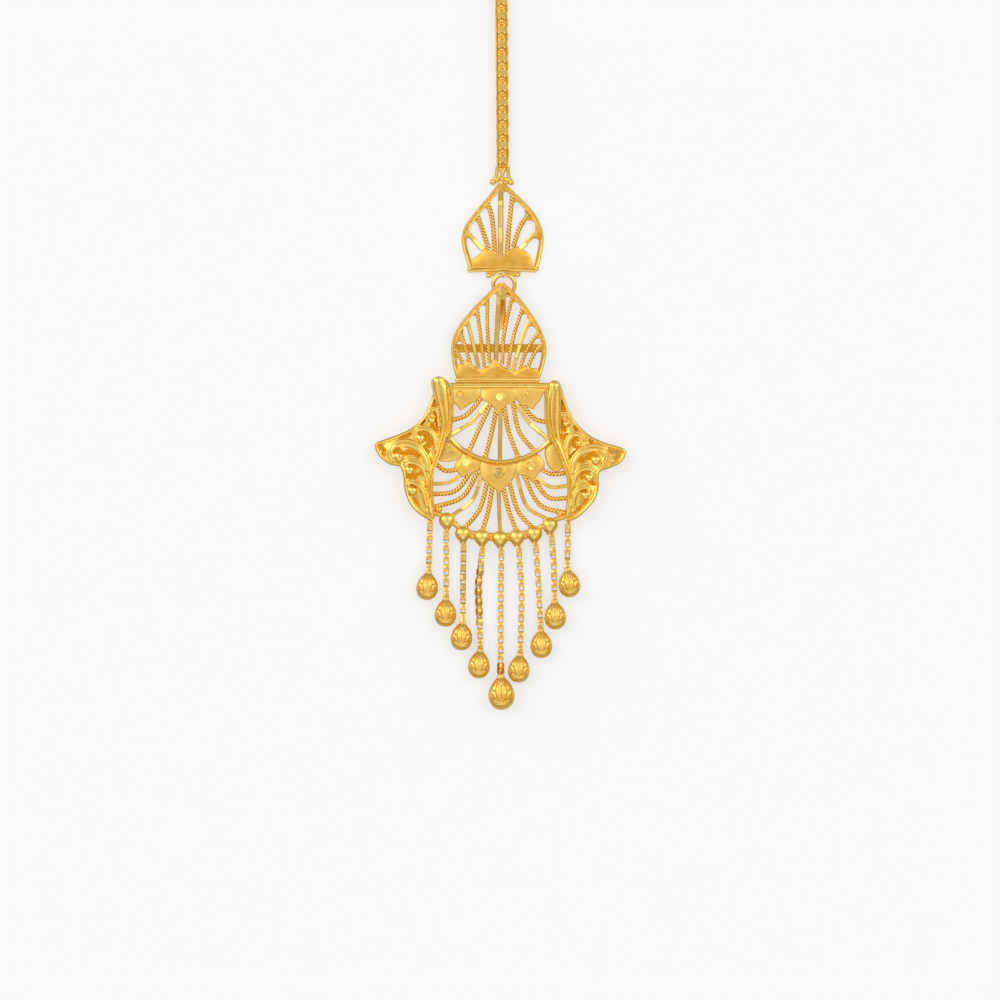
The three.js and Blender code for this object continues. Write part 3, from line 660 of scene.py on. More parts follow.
def make_second_leaf():
    """The larger leaf, which rises towards its tip. A band crosses behind it, and a strap runs down
    its back from the loop that the ring goes through."""
    z = SECOND_LEAF_LEVEL
    nodes = ["pendant"]

    def lifted(surfaces):
        return [raised(s, LEAF_FOOT, SECOND_LEAF_SLOPE) for s in surfaces]

    rims = [rim(levelled(SECOND_RIM_LEFT, z), -1.0), rim(levelled(SECOND_RIM_RIGHT, z), 1.0)]
    make_piece("second_leaf_rim", lifted(rims), POLISHED, nodes)
    lines = [
        [(x, y, z + 0.05 + SECOND_LEAF_SLOPE * (y - LEAF_FOOT)) for x, y in ends] for ends in SECOND_ROPES
    ]
    make_ropes("second_leaf", lines, 0.62, nodes)
    flats = [flat_wire(levelled(line, z), 0.6, 0.42, rolls) for line, rolls in SECOND_FLATS]
    flats.append(flat_wire(levelled(SECOND_CENTRE, z), 0.7, 0.46, SECOND_CENTRE_ROLLS))
    make_piece("second_leaf_flat_wires", lifted(flats), POLISHED, nodes, sharp=24.0)
    wires = SECOND_ROPES + [line for line, _ in SECOND_FLATS]
    solder = rim_fillets(wires, [SECOND_RIM_LEFT, SECOND_RIM_RIGHT], z)
    apex = plate(SECOND_APEX, z - 0.15, z + 0.2)
    make_piece("second_leaf_solder", lifted([apex, *solder]), SOLDER, nodes)
    petals = [domed(p, z + 0.1, 0.3, 0.3) for p in SECOND_PETALS]
    petals += [stud(-0.35, 18.2, z + 0.36, 0.42, 0.12), stud(3.9, 18.15, z + 0.34, 0.32, 0.1)]
    make_piece("second_leaf_petals", lifted(petals), AMBER, nodes)
    # The band and the strap take the dark gold that stands in for shade: partly painted shade behind the
    # leaf's wires, partly a deeper matte gold of their own.
    band = plate([(-6.4, 21.1), (6.1, 21.1), (6.1, 22.3), (-6.4, 22.3)], z - 0.5, z - 0.26)
    strap = carry(smooth_route(STRAP_ROUTE, 0.15), FLAT_PROFILE, 0.74, 0.24)
    make_piece("second_leaf_back_band", lifted([band]) + [strap], PAINTED_SHADE_GOLD, nodes)
    foot = [
        wire([(-6.0, 17.35, z + 0.12), (-3, 17.4, z + 0.12), (5.4, 17.32, z + 0.12)], 0.62),
        wire([(-6.3, 16.95, z + 0.05), (0, 16.98, z + 0.05), (5.5, 16.95, z + 0.05)], 0.5),
        lump((5.35, 17.15, z + 0.12), (0.36, 0.42, 0.34)),
        lump((-6.1, 17.15, z + 0.12), (0.34, 0.4, 0.34)),
    ]
    make_piece("second_leaf_foot_bar", foot, POLISHED, nodes)


# ---------------------------------------------------------------- upper tier

TOP_BAR_Y = 16.35
UPPER_PETALS = [
    [(-6.8, 16.0), (-3.2, 16.0), (-2.75, 15.4), (-2.9, 14.5), (-3.75, 14.0), (-4.4, 13.65), (-5.0, 13.2),
     (-5.65, 12.8), (-6.0, 13.35), (-6.5, 13.8), (-6.75, 14.3)],
    [(-2.0, 16.0), (-2.75, 15.0), (-2.55, 14.35), (-1.6, 13.75), (-0.8, 13.05), (-0.2, 12.15), (0.5, 13.2),
     (1.3, 13.75), (2.1, 14.2), (2.25, 14.8), (1.9, 16.0)],
    [(1.8, 16.0), (2.35, 14.3), (3.45, 13.6), (4.2, 13.2), (4.7, 12.95), (5.2, 13.65), (5.65, 14.1),
     (6.2, 15.2), (6.3, 16.0)],
]
UPPER_STUDS = [
    # middle, radius, lean
    (-5.75, 15.05, 0.46, (0.0, -0.25)),
    (-0.05, 14.7, 0.54, (-0.22, 0.1)),
    (4.05, 15.2, 0.34, (0.1, 0.0)),
]
UPPER_ROPES = [
    [(-2.7, 14.5), (-4.7, 12.2), (-7.2, 11.3)],
    [(-1.3, 13.7), (-2.8, 10.6), (-4.4, 7.0)],
    [(-0.5, 12.9), (-1.3, 9.2), (-2.1, 6.1)],
    [(0.6, 13.4), (1.2, 9.9), (2.6, 6.1)],
    [(1.8, 14.1), (2.7, 9.9), (4.9, 7.0)],
    [(3.0, 14.0), (4.8, 11.7), (6.9, 11.1)],
]
UPPER_FLATS = [
    ([(0.1, 12.9), (0.0, 9.0), (0.0, 5.6)], [-6, 5, 5, -3, 3]),
    ([(-1.8, 13.9), (-3.9, 11.3), (-7.2, 9.2)], [-12, 14, 14, -10]),
    ([(2.4, 13.7), (4.2, 11.0), (6.8, 8.8)], [-12, -10, 14, 12]),
]
DIVIDING_ARC = [(-7.4, 9.2), (-5.6, 7.4), (-2.9, 6.0), (0.0, 5.4), (2.9, 5.9), (5.5, 7.1), (7.4, 8.7)]
ARC_PROFILE = np.array(
    [
        (-0.5, -0.5), (0.5, -0.5), (0.52, 0.32), (0.34, 0.5), (0.2, 0.36), (0.12, 0.42), (-0.3, 0.3),
        (-0.5, 0.12),
    ]
)
UPPER_SIDES = [
    [(-6.9, 16.3), (-6.9, 12.0), (-7.3, 8.4)],
    [(6.6, 16.3), (6.6, 12.0), (7.2, 8.4)],
]


def make_fan_wires(name, level, ropes, flats, width, nodes):
    """The rope wires of a fan, and the flat ones between them."""
    make_ropes(name, [levelled(ends, level) for ends in ropes], ROPE, nodes)
    wires = [flat_wire(levelled(line, level), width, 0.42, rolls) for line, rolls in flats]
    make_piece(f"{name}_flat_wires", wires, POLISHED, nodes, sharp=24.0)


def make_upper_tier():
    """The fan under the second leaf: bar, side wires, petals with studs, ropes and flat wires that
    spread from the petals, and the arc that divides it from the lower fan."""
    z = UPPER_TIER_LEVEL
    nodes = ["pendant"]
    bar = wire([(-7.1, TOP_BAR_Y, 1.5), (0.0, TOP_BAR_Y + 0.05, 1.5), (7.0, TOP_BAR_Y, 1.5)], 0.84)
    lip = wire([(-6.6, 15.95, 1.62), (0.0, 15.9, 1.62), (6.4, 15.95, 1.62)], 0.26)
    curl = [lump((6.6, 16.2, 1.7), (0.36, 0.3, 0.3)), lump((6.9, 15.85, 1.6), (0.26, 0.24, 0.24))]
    make_piece("upper_tier_bar", [bar, lip, *curl], POLISHED, nodes)
    sides = [flat_wire(levelled(line, z), 0.5, 0.8, [6, -6, 4]) for line in UPPER_SIDES]
    make_piece("upper_tier_sides", sides, POLISHED, nodes)
    petals = [domed(p, z + 0.12, 0.35, 0.3) for p in UPPER_PETALS]
    make_piece("upper_tier_petals", petals, SATIN, nodes)
    studs = [stud(x, y, z + 0.4, r, 0.2, lean) for x, y, r, lean in UPPER_STUDS]
    make_piece("upper_tier_studs", studs, POLISHED, nodes)
    make_fan_wires("upper_tier", z, UPPER_ROPES, UPPER_FLATS, 0.6, nodes)
    arc = carry(smooth_route(levelled(DIVIDING_ARC, z + 0.02), 0.15), ARC_PROFILE, 0.62, 0.8)
    make_piece("dividing_arc", [arc], POLISHED, nodes, sharp=30.0)
    feet = [[ends[2], ends[1]] for ends in UPPER_ROPES[1:5]]
    feet += [[line[-1], line[-2]] for line, _ in UPPER_FLATS]
    solder = rim_fillets(feet, [DIVIDING_ARC], z, 0.8)
    solder += rim_fillets([UPPER_ROPES[0][::-1], UPPER_ROPES[5][::-1]], UPPER_SIDES, z, 0.7)
    make_piece("upper_tier_solder", solder, SOLDER, nodes)


# ---------------------------------------------------------------- lower tier

LOWER_PETALS = [
    [(-7.0, 8.6), (-8.2, 8.0), (-9.0, 6.4), (-8.6, 5.6), (-7.6, 5.45), (-6.6, 5.6), (-5.8, 5.95),
     (-5.3, 6.7), (-6.0, 7.6)],
    [(-5.2, 6.8), (-5.75, 5.9), (-6.3, 5.35), (-6.5, 4.6), (-5.95, 3.8), (-5.6, 3.3), (-5.0, 3.4),
     (-4.1, 3.9), (-3.1, 4.15), (-2.85, 4.6), (-2.6, 5.6), (-3.9, 6.2)],
    [(-2.65, 5.6), (-2.9, 4.05), (-2.45, 2.85), (-1.6, 2.15), (-0.7, 1.5), (-0.2, 0.75), (0.5, 1.6),
     (1.5, 2.5), (2.15, 3.7), (2.2, 5.3), (0.9, 5.3), (-0.9, 5.3)],
    [(2.3, 5.4), (2.35, 3.85), (3.45, 3.5), (4.1, 3.05), (4.65, 2.4), (5.1, 3.05), (5.75, 4.05),
     (6.35, 4.8), (6.2, 5.7), (5.2, 6.6), (3.7, 6.0)],
    [(6.4, 7.2), (7.4, 8.3), (8.6, 7.2), (9.3, 5.2), (8.3, 4.1), (7.3, 4.3), (6.65, 5.3)],
]
LOWER_STUDS = [
    # middle, radius, lean
    (-4.8, 5.3, 0.6, (-0.2, 0.12)),
    (-0.15, 3.75, 0.76, (0.0, 0.0)),
    (4.45, 4.75, 0.62, (0.2, 0.05)),
    (-7.25, 7.0, 0.5, (0.05, -0.1)),
]
LOWER_ROPES = [
    [(-1.0, 2.4), (-1.7, -1.7), (-2.6, -4.6)],
    [(-1.7, 3.1), (-2.9, -1.3), (-5.2, -4.2)],
    [(-3.2, 4.0), (-5.4, 0.4), (-9.7, -1.1)],
    [(-4.0, 4.2), (-6.4, 1.3), (-10.0, 0.8)],
    [(-6.0, 4.4), (-7.8, 4.2), (-9.4, 5.4)],
    [(0.4, 2.1), (1.2, -1.4), (2.4, -4.6)],
    [(1.2, 2.9), (2.6, -1.6), (4.9, -4.2)],
    [(3.2, 4.0), (5.6, -0.6), (9.6, -1.9)],
    [(4.7, 3.2), (6.9, 0.4), (10.0, 0.3)],
    [(6.0, 4.3), (7.5, 3.7), (9.8, 3.9)],
]
LOWER_FLATS = [
    ([(-0.2, 1.4), (-0.1, -1.8), (0.0, -4.9)], [3, -3, 4, -4]),
    ([(-2.6, 3.8), (-3.9, 0.1), (-7.2, -2.5)], [12, -5, -9, 6]),
    ([(-5.3, 3.8), (-7.3, 2.5), (-10.1, 2.3)], [14, 10, -6]),
    ([(2.3, 3.8), (3.8, -0.8), (7.0, -2.9)], [-9, -5, 8, -8]),
    ([(5.0, 3.3), (7.3, 1.9), (10.2, 2.1)], [12, 8, -8]),
]
BEADS = [(-7.6, -2.9), (-5.3, -4.8), (-2.6, -5.3), (0.0, -5.5), (2.4, -5.3), (4.9, -4.8), (7.1, -3.6)]
LOWER_EDGE = [
    (-9.6, -1.8), (-7.6, -2.5), (-5.3, -4.3), (-2.6, -4.9), (0.0, -5.05), (2.4, -4.9), (4.9, -4.35),
    (7.1, -3.1), (9.6, -2.3),
]


BEAD_PROFILE = [
    # height and radius, as shares of the bead's radius
    (1.0, 0.0), (0.97, 0.26), (0.87, 0.5), (0.7, 0.72), (0.48, 0.88), (0.24, 0.97), (0.0, 1.0),
    (-0.24, 0.97), (-0.46, 0.88), (-0.66, 0.74), (-0.82, 0.6), (-0.95, 0.48), (-1.05, 0.4),
    (-1.13, 0.36), (-1.2, 0.34), (-1.2, 0.0),
]
EDGE_LUMPS = [
    # middle, half lengths
    ((-3.95, -5.2, 0.95), (0.42, 0.5, 0.42)),
    ((-1.3, -5.45, 0.95), (0.42, 0.5, 0.42)),
    ((1.2, -5.45, 0.95), (0.42, 0.5, 0.42)),
    ((3.65, -5.2, 0.95), (0.42, 0.5, 0.42)),
    ((-9.0, -1.95, 0.95), (0.38, 0.34, 0.34)),
    ((8.6, -2.6, 0.95), (0.38, 0.34, 0.34)),
    ((-6.4, -3.3, 0.95), (0.38, 0.34, 0.34)),
    ((-8.8, -1.3, 1.0), (0.6, 0.48, 0.4)),
    ((8.6, -1.85, 1.0), (0.6, 0.48, 0.4)),
]


def bead(x, y):
    """A bead like a flattened drop hanging point down: round above, then drawn in quickly to the
    neck that the chain leaves by."""
    fall, wide = np.array(BEAD_PROFILE).T * BEAD_RADIUS
    return turned(fall, wide, (x, y, BEAD_RADIUS), (0, 1, 0), 36, 0.9)


def make_lower_tier():
    """The lower fan: petals with studs, ropes and flat wires down to the edge, and along that the
    beads with solder between them."""
    z = LOWER_TIER_LEVEL
    nodes = ["pendant"]
    petals = [domed(p, z + 0.14, 0.35, 0.34) for p in LOWER_PETALS]
    make_piece("lower_tier_petals", petals, SATIN, nodes)
    studs = [stud(x, y, z + 0.46, r, 0.24, lean) for x, y, r, lean in LOWER_STUDS]
    make_piece("lower_tier_studs", studs, POLISHED, nodes)
    make_fan_wires("lower_tier", z, LOWER_ROPES, LOWER_FLATS, 0.56, nodes)
    make_piece("lower_edge_beads", [bead(x, y) for x, y in BEADS], BEAD_GOLD, nodes)
    feet = [[ends[2], ends[1]] for ends in LOWER_ROPES[:3] + LOWER_ROPES[5:8]]
    feet += [[LOWER_FLATS[i][0][2], LOWER_FLATS[i][0][1]] for i in (0, 1, 3)]
    solder = rim_fillets(feet, [LOWER_EDGE], z, 0.8)
    edge = wire(levelled(LOWER_EDGE, z), 0.72, 0.2, 12)
    balls = [lump(middle, halves) for middle, halves in EDGE_LUMPS]
    make_piece("lower_edge_solder", [edge, *balls, *solder], SOLDER, nodes)


# ---------------------------------------------------------------- scrolled wings

# "outer" and "inner" are a wing's edges, from the knob at its top to its lower tip. "leaf" is the
# middle line of the long leaf along the inner edge, and "leaf_width" its half width at even steps.
# A groove in the leaf is a route with a width and a depth. A scroll is its route from root to curl,
# its half width, how far its inner edge reaches, the number of lobes on that edge, and the ball that
# it curls round: x, y and radius. A pit is a route with a half width. "flat" is the middle line of
# a bare level patch, which only the right wing has.

LEFT_WING = {
    "outer": [
        (-8.9, 17.7), (-9.8, 17.0), (-9.6, 15.1), (-10.3, 13.2), (-11.2, 11.6), (-12.5, 10.4), (-14.2, 9.5),
        (-16.4, 8.7), (-17.7, 8.15), (-17.9, 7.7), (-17.5, 6.6), (-16.7, 5.7), (-15.5, 5.0), (-14.3, 4.75),
        (-13.85, 3.5), (-13.7, 1.8), (-13.3, 0.3), (-12.5, -1.1), (-11.3, -2.2), (-10.0, -2.9),
    ],
    "inner": [
        (-8.9, 17.7), (-7.9, 17.3), (-7.2, 16.5), (-6.9, 14.6), (-6.9, 12.0), (-7.2, 10.0), (-7.7, 8.5),
        (-8.3, 6.8), (-9.0, 5.2), (-9.45, 4.0), (-9.55, 2.0), (-9.45, 0.0), (-9.3, -2.0), (-9.45, -2.7),
        (-10.0, -2.9),
    ],
    "leaf": [
        (-8.75, 16.9), (-8.4, 15.5), (-8.0, 13.5), (-7.75, 11.5), (-7.8, 10.0), (-8.15, 8.5),
        (-8.7, 6.8), (-9.35, 5.0), (-9.8, 3.5), (-9.95, 1.5), (-9.9, -0.5), (-9.7, -2.4),
    ],
    "leaf_width": [1.0, 1.22, 1.08, 0.88, 0.74, 0.6, 0.52, 0.48, 0.48, 0.48, 0.46, 0.40],
    "grooves": [
        ([(-8.75, 16.2), (-8.35, 14.4), (-7.95, 12.4), (-7.8, 10.6), (-8.1, 8.9), (-8.8, 6.5), (-9.5, 4.6),
          (-9.95, 2.6), (-10.0, 0.4), (-9.85, -1.8)], 0.13, 0.34),
        ([(-7.55, 16.2), (-7.35, 14.4), (-7.22, 12.4), (-7.3, 10.6), (-7.65, 9.0)], 0.12, 0.34),
        ([(-9.3, 15.6), (-9.0, 13.8), (-8.72, 12.4)], 0.10, 0.22),
    ],
    "scrolls": [
        ([(-8.75, 10.6), (-8.75, 12.1), (-9.15, 12.9), (-9.85, 12.95), (-10.25, 12.4), (-10.15, 11.7)],
         0.43, 0.36, 2, (-9.7, 11.35, 0.58)),
        ([(-8.95, 5.9), (-9.05, 8.0), (-9.5, 9.4), (-10.35, 10.15), (-11.3, 10.25), (-11.95, 9.85),
          (-12.1, 9.1)],
         0.54, 0.42, 3, (-11.35, 8.8, 0.74)),
        ([(-10.2, 4.4), (-10.5, 5.8), (-11.3, 7.1), (-12.3, 7.85), (-13.6, 8.15), (-14.75, 7.95),
          (-15.5, 7.3), (-15.6, 6.5), (-15.2, 5.8)], 0.67, 0.50, 5, (-14.4, 6.2, 0.87)),
        ([(-10.3, 2.2), (-10.6, 3.8), (-11.2, 4.8), (-12.05, 5.4), (-12.85, 5.5), (-13.4, 5.1),
          (-13.5, 4.5)],
         0.54, 0.39, 3, (-12.95, 4.25, 0.76)),
        ([(-10.4, -0.8), (-10.8, 1.0), (-11.3, 1.9), (-12.15, 2.5), (-12.8, 2.55), (-13.15, 2.15),
          (-13.15, 1.5)],
         0.50, 0.36, 2, (-12.5, 1.3, 0.74)),
    ],
    "pits": [
        ([(-9.5, 14.2), (-9.4, 13.6)], 0.22),
        ([(-9.25, 12.7), (-8.95, 11.8), (-8.9, 10.8)], 0.30),
        ([(-10.9, 11.4), (-11.2, 11.0)], 0.24),
        ([(-9.8, 10.6), (-9.0, 9.9)], 0.25),
        ([(-11.5, 9.85), (-10.75, 9.6), (-10.3, 8.7), (-10.1, 7.9), (-10.7, 7.6), (-10.4, 6.9)], 0.36),
        ([(-14.2, 8.85), (-12.9, 9.35)], 0.22),
        ([(-17.2, 7.65), (-16.65, 7.2), (-16.65, 6.5)], 0.30),
        ([(-15.2, 6.95), (-14.7, 7.15), (-13.8, 6.6), (-12.8, 6.9), (-11.6, 6.25)], 0.34),
        ([(-13.5, 5.2), (-12.9, 5.15), (-12.1, 4.6)], 0.28),
        ([(-13.1, 3.4), (-12.2, 3.4), (-11.5, 3.75)], 0.28),
        ([(-12.6, 2.3), (-12.0, 1.95)], 0.27),
        ([(-12.3, 0.2), (-11.6, -0.8)], 0.22),
    ],
}
RIGHT_WING = {
    "outer": [
        (7.7, 17.2), (8.4, 16.9), (8.8, 16.0), (9.1, 14.9), (9.8, 13.0), (11.0, 10.9), (12.9, 9.2),
        (15.0, 8.2), (17.2, 7.55), (17.9, 7.1), (18.0, 6.6), (17.3, 5.4), (15.8, 4.6), (14.4, 4.1),
        (14.1, 3.3), (14.1, 1.8), (13.6, 0.1), (12.3, -1.5), (10.8, -2.7), (9.6, -3.05),
    ],
    "inner": [
        (7.7, 17.2), (7.1, 16.8), (6.6, 15.6), (6.4, 13.8), (6.5, 11.8), (6.9, 9.6), (7.5, 7.9), (8.4, 6.0),
        (9.1, 4.4), (9.5, 2.9), (9.6, 1.0), (9.4, -1.0), (9.2, -2.4), (9.6, -3.05),
    ],
    "leaf": [
        (7.75, 16.2), (7.7, 15.0), (7.65, 13.5), (7.7, 11.5), (7.85, 9.8), (8.2, 8.2), (8.8, 6.6),
        (9.4, 5.0), (9.85, 3.5), (10.0, 1.8), (9.9, 0.0), (9.65, -2.3),
    ],
    "leaf_width": [0.95, 1.15, 1.2, 1.05, 0.86, 0.66, 0.54, 0.5, 0.48, 0.48, 0.46, 0.40],
    "grooves": [
        ([(7.45, 15.6), (7.1, 13.8), (7.12, 11.6), (7.5, 9.3), (8.1, 7.6), (8.9, 5.8), (9.65, 4.2),
          (10.0, 2.6), (10.1, 0.4), (9.8, -1.8)], 0.12, 0.34),
        ([(8.1, 15.9), (7.85, 14.2), (7.75, 11.8), (7.9, 9.6), (8.4, 7.9)], 0.12, 0.34),
    ],
    "scrolls": [
        ([(8.6, 10.0), (8.5, 11.5), (8.85, 12.2), (9.5, 12.3), (9.9, 11.9), (9.95, 11.2), (9.75, 10.7)],
         0.43, 0.36, 2, (9.4, 10.85, 0.58)),
        ([(9.5, 4.6), (9.4, 6.9), (9.6, 8.3), (10.3, 9.3), (11.1, 9.45), (11.75, 9.05), (11.9, 8.4),
          (11.6, 7.9)],
         0.54, 0.42, 3, (11.1, 8.05, 0.69)),
        ([(10.2, 4.0), (10.5, 5.6), (11.4, 6.75), (12.7, 7.4), (13.95, 7.45), (14.85, 6.95), (15.05, 6.2),
          (14.8, 5.5)], 0.67, 0.50, 5, (13.7, 5.7, 0.81)),
        ([(10.4, 2.1), (10.7, 3.4), (11.4, 4.3), (12.25, 4.65), (13.0, 4.4), (13.3, 3.9), (13.1, 3.2)],
         0.54, 0.39, 3, (12.75, 3.2, 0.72)),
        ([(10.35, -0.8), (10.6, 0.7), (11.25, 1.6), (12.1, 1.9), (12.7, 1.6), (12.95, 1.0), (12.8, 0.5)],
         0.50, 0.36, 2, (12.2, 0.65, 0.72)),
    ],
    "pits": [
        ([(8.9, 14.0), (9.1, 12.9)], 0.22),
        ([(8.75, 11.4), (8.75, 10.6), (9.2, 10.0)], 0.28),
        ([(9.05, 9.0), (9.5, 9.35)], 0.26),
        ([(10.7, 10.35), (10.95, 10.15)], 0.22),
        ([(10.85, 9.05), (10.6, 8.1), (11.15, 7.3)], 0.32),
        ([(10.2, 6.2), (10.75, 6.85)], 0.26),
        ([(12.9, 8.45), (13.2, 8.2)], 0.22),
        ([(11.5, 5.6), (12.4, 6.0), (13.4, 6.6)], 0.38),
        ([(12.7, 4.2), (11.75, 3.85), (11.7, 3.2)], 0.30),
        ([(13.0, 2.4), (13.45, 2.3)], 0.22),
        ([(12.3, 1.55), (11.5, 1.35)], 0.24),
        ([(12.4, -0.1), (11.4, -1.1), (10.65, -1.8)], 0.26),
    ],
    "flat": [(15.9, 7.0), (17.2, 6.95), (16.6, 5.9)],
}
WELL = 1.32  # level of the bottom of a wing's openings


def beside(points, route):
    """How far each plan point lies from a route, at what share of it, and on which side."""
    gap = (points[:, None, 0] - route[None, :, 0]) ** 2 + (points[:, None, 1] - route[None, :, 1]) ** 2
    near = np.argmin(gap, axis=1)
    along = unit(np.gradient(route, axis=0))[near]
    away = points - route[near]
    side = np.sign(along[:, 0] * away[:, 1] - along[:, 1] * away[:, 0])
    return np.sqrt(gap[np.arange(len(points)), near]), near / (len(route) - 1), side


def plan_route(points, step=0.06):
    """A smooth route on the plan, as x and y."""
    return smooth_route(levelled(points, 0.0), step)[:, :2]


def scroll_height(points, scroll):
    """A scroll's band is a round arch across its width with a groove along it. A thin flange with a
    lobed edge reaches in from it, and a ball closes the curl. The whole falls away gently from its
    root. Also returned: how far each point lies beyond the band."""
    line, half, reach, lobes, (ball_x, ball_y, radius) = scroll
    route = plan_route(line)
    gap, share, side = beside(points, route)
    middle = route[len(route) // 2]
    chord = route[-1] - route[0]
    inner = -np.sign(chord[0] * (middle - route[0])[1] - chord[1] * (middle - route[0])[0])
    width = half * (0.72 + 0.28 * np.sin(np.pi * np.clip(share * 1.05, 0, 1)) ** 0.8)
    across = gap * side * -inner / width
    base = 2.0 - 0.2 * share
    arch = np.clip(1 - across**2, 0, 1) ** 0.4
    groove = 0.16 * np.exp(-(((across - 0.2) / 0.16) ** 2))
    band = np.where(np.abs(across) < 1, base - 0.1 + 0.5 * arch - groove, 0)
    edge = reach * (0.4 + 0.6 * np.abs(np.sin(share * np.pi * lobes)) ** 0.7) * np.sin(np.pi * share) ** 0.5
    past = (gap - width) / np.maximum(edge, 0.02)
    flange = np.where((side == inner) & (past < 1) & (gap >= width * 0.8), base - 0.02 - 0.12 * past, 0)
    from_ball = np.hypot(points[:, 0] - ball_x, points[:, 1] - ball_y) / radius
    ball = np.where(from_ball < 1, 1.7 + 0.8 * np.clip(1 - from_ball**2, 0, 1) ** 0.45, 0)
    return np.maximum(np.maximum(band, flange), ball), gap - width


def wing_height(points, wing, border):
    """Height of a wing over its plan. The ground falls away from the scrolls. Over it lie the
    scrolls, the moulded border, and the long leaf, whose section is a round arch with grooves cut
    in it. The pits go down to the well beside the scrolls, and their edges wave like a sine along
    their length."""
    beyond = np.full(len(points), 9.0)
    scrolls = np.zeros(len(points))
    for scroll in wing["scrolls"]:
        height, gap = scroll_height(points, scroll)
        scrolls = np.maximum(scrolls, height)
        beyond = np.minimum(beyond, gap)
    ground = 1.75 + 0.2 * np.exp(-((np.clip(beyond, 0, 2) / 0.3) ** 2))
    height = np.maximum(ground, scrolls)
    for line, half in wing["pits"]:
        gap, share, _ = beside(points, plan_route(line))
        lobed = half * (0.85 + 0.25 * np.sin(share * 4 * np.pi))
        sunk = np.clip((lobed + 0.04 - gap) / 0.05, 0, 1) * (beyond > -0.12)
        height = height - sunk * (height - WELL)
    if "flat" in wing:
        gap, _, _ = beside(points, plan_route(wing["flat"]))
        height = np.where(gap < 0.5, 1.5, height)
    gap, _, _ = beside(points, border)
    moulding = np.interp(gap, [0, 0.06, 0.2, 0.38, 0.48, 0.54], [1.92, 2.08, 2.2, 2.12, 1.75, 0.0])
    height = np.maximum(height, moulding)
    gap, share, _ = beside(points, plan_route(wing["leaf"]))
    half = np.interp(share, np.linspace(0, 1, len(wing["leaf_width"])), wing["leaf_width"])
    lift = np.interp(share, [0, 0.4, 1.0], [2.15, 2.1, 1.8])
    body = np.where(gap < half, lift - 0.2 + 0.95 * np.clip(1 - (gap / half) ** 2, 0, 1) ** 0.42, 0)
    for line, width, depth in wing["grooves"]:
        gap, share, _ = beside(points, plan_route(line))
        fade = np.clip(np.minimum(share, 1 - share) * 9, 0, 1)
        body = body - depth * fade * np.exp(-((gap / width) ** 2))
    return np.maximum(height, body)


def make_wing(name, wing):
    """A wing is one carved body. Its upper face is a grid of rows that run straight from the inner
    edge to the outer one, raised to the wing's height; a wall goes down from its edge to a flat
    back, and swells a little half way down."""
    rows, columns = 380, 116
    paths = []
    for key in ("inner", "outer"):
        path = plan_route(wing[key], 0.02)
        at = np.linspace(0.006, 0.994, rows) * (len(path) - 1)
        number = np.arange(len(path))
        paths.append(np.stack([np.interp(at, number, path[:, i]) for i in range(2)], axis=1))
    inner, outer = paths
    across = np.linspace(0, 1, columns)[None, :, None]
    plan = inner[:, None] * (1 - across) + outer[:, None] * across
    flat = plan.reshape(-1, 2)
    height = wing_height(flat, wing, plan_route(wing["outer"]))
    face = np.column_stack([flat, height])
    number = np.arange(rows * columns).reshape(rows, columns)
    edge = np.concatenate([number[0], number[1:, -1], number[-1, -2::-1], number[-2:0:-1, 0]])
    rim_points = face[edge]
    middle = np.array([flat[:, 0].mean(), flat[:, 1].mean()])
    outward_way = unit(np.roll(rim_points[:, :2], -1, axis=0) - np.roll(rim_points[:, :2], 1, axis=0))
    outward_way = np.column_stack([outward_way[:, 1], -outward_way[:, 0]])
    if np.sum(outward_way * (rim_points[:, :2] - middle)) < 0:
        outward_way = -outward_way
    swell = np.column_stack([rim_points[:, :2] + 0.05 * outward_way, np.full(len(edge), 1.1)])
    foot = np.column_stack([rim_points[:, :2], np.full(len(edge), 0.02)])
    first = rows * columns
    count = len(edge)
    j = np.arange(count)
    following = (j + 1) % count
    around = [number[:-1, :-1], number[:-1, 1:], number[1:, 1:], number[1:, :-1]]
    quads = np.stack(around, axis=-1).reshape(-1, 4)
    last = first + count
    upper_wall = np.stack([edge[following], edge[j], first + j, first + following], axis=-1)
    lower_wall = np.stack([first + following, first + j, last + j, last + following], axis=-1)
    if (quads[0] == edge[[0, 1, count - 1, count - 1]]).all():
        quads = quads[:, ::-1]
    back = last + j[::-1]
    corners = np.concatenate([quads.ravel(), upper_wall.ravel(), lower_wall.ravel(), back])
    sizes = np.concatenate([np.full(len(quads) + 2 * count, 4), [count]])
    carving = outward(np.vstack([face, swell, foot]), corners, sizes)
    make_piece(f"{name}_carving", [carving], CARVED, ["pendant"], sharp=75.0)


# ---------------------------------------------------------------- chains and drops

# The chains hang from left to right: where each leaves its bead, its middle, where it ends, and the
# middle of its drop.
HANGERS = [
    ((-10.0, -3.2), (-10.1, -6.5), (-10.2, -10.1), (-10.4, -12.4)),
    ((-7.7, -4.4), (-7.7, -9.0), (-7.7, -13.6), (-7.8, -16.2)),
    ((-5.2, -6.3), (-5.3, -11.8), (-5.3, -17.3), (-5.5, -19.6)),
    ((-2.5, -6.8), (-3.1, -12.5), (-2.8, -21.0), (-3.0, -23.6)),
    ((0.2, -7.0), (0.1, -15.7), (0.1, -24.6), (0.2, -27.7)),
    ((2.7, -6.8), (3.1, -13.5), (2.9, -21.6), (2.7, -24.2)),
    ((5.1, -6.3), (5.5, -12.0), (5.8, -18.1), (5.9, -20.7)),
    ((7.4, -5.1), (7.7, -9.5), (7.8, -14.3), (7.9, -16.6)),
    ((9.7, -3.4), (9.7, -6.5), (9.6, -9.6), (9.9, -12.0)),
]
MIDDLE_DROP = 4
SLIT_DROPS = (2, 4, 8)
TWISTED_CHAIN = 3
LINK_PITCH = 1.43
CHAIN_WIDTH = 0.8


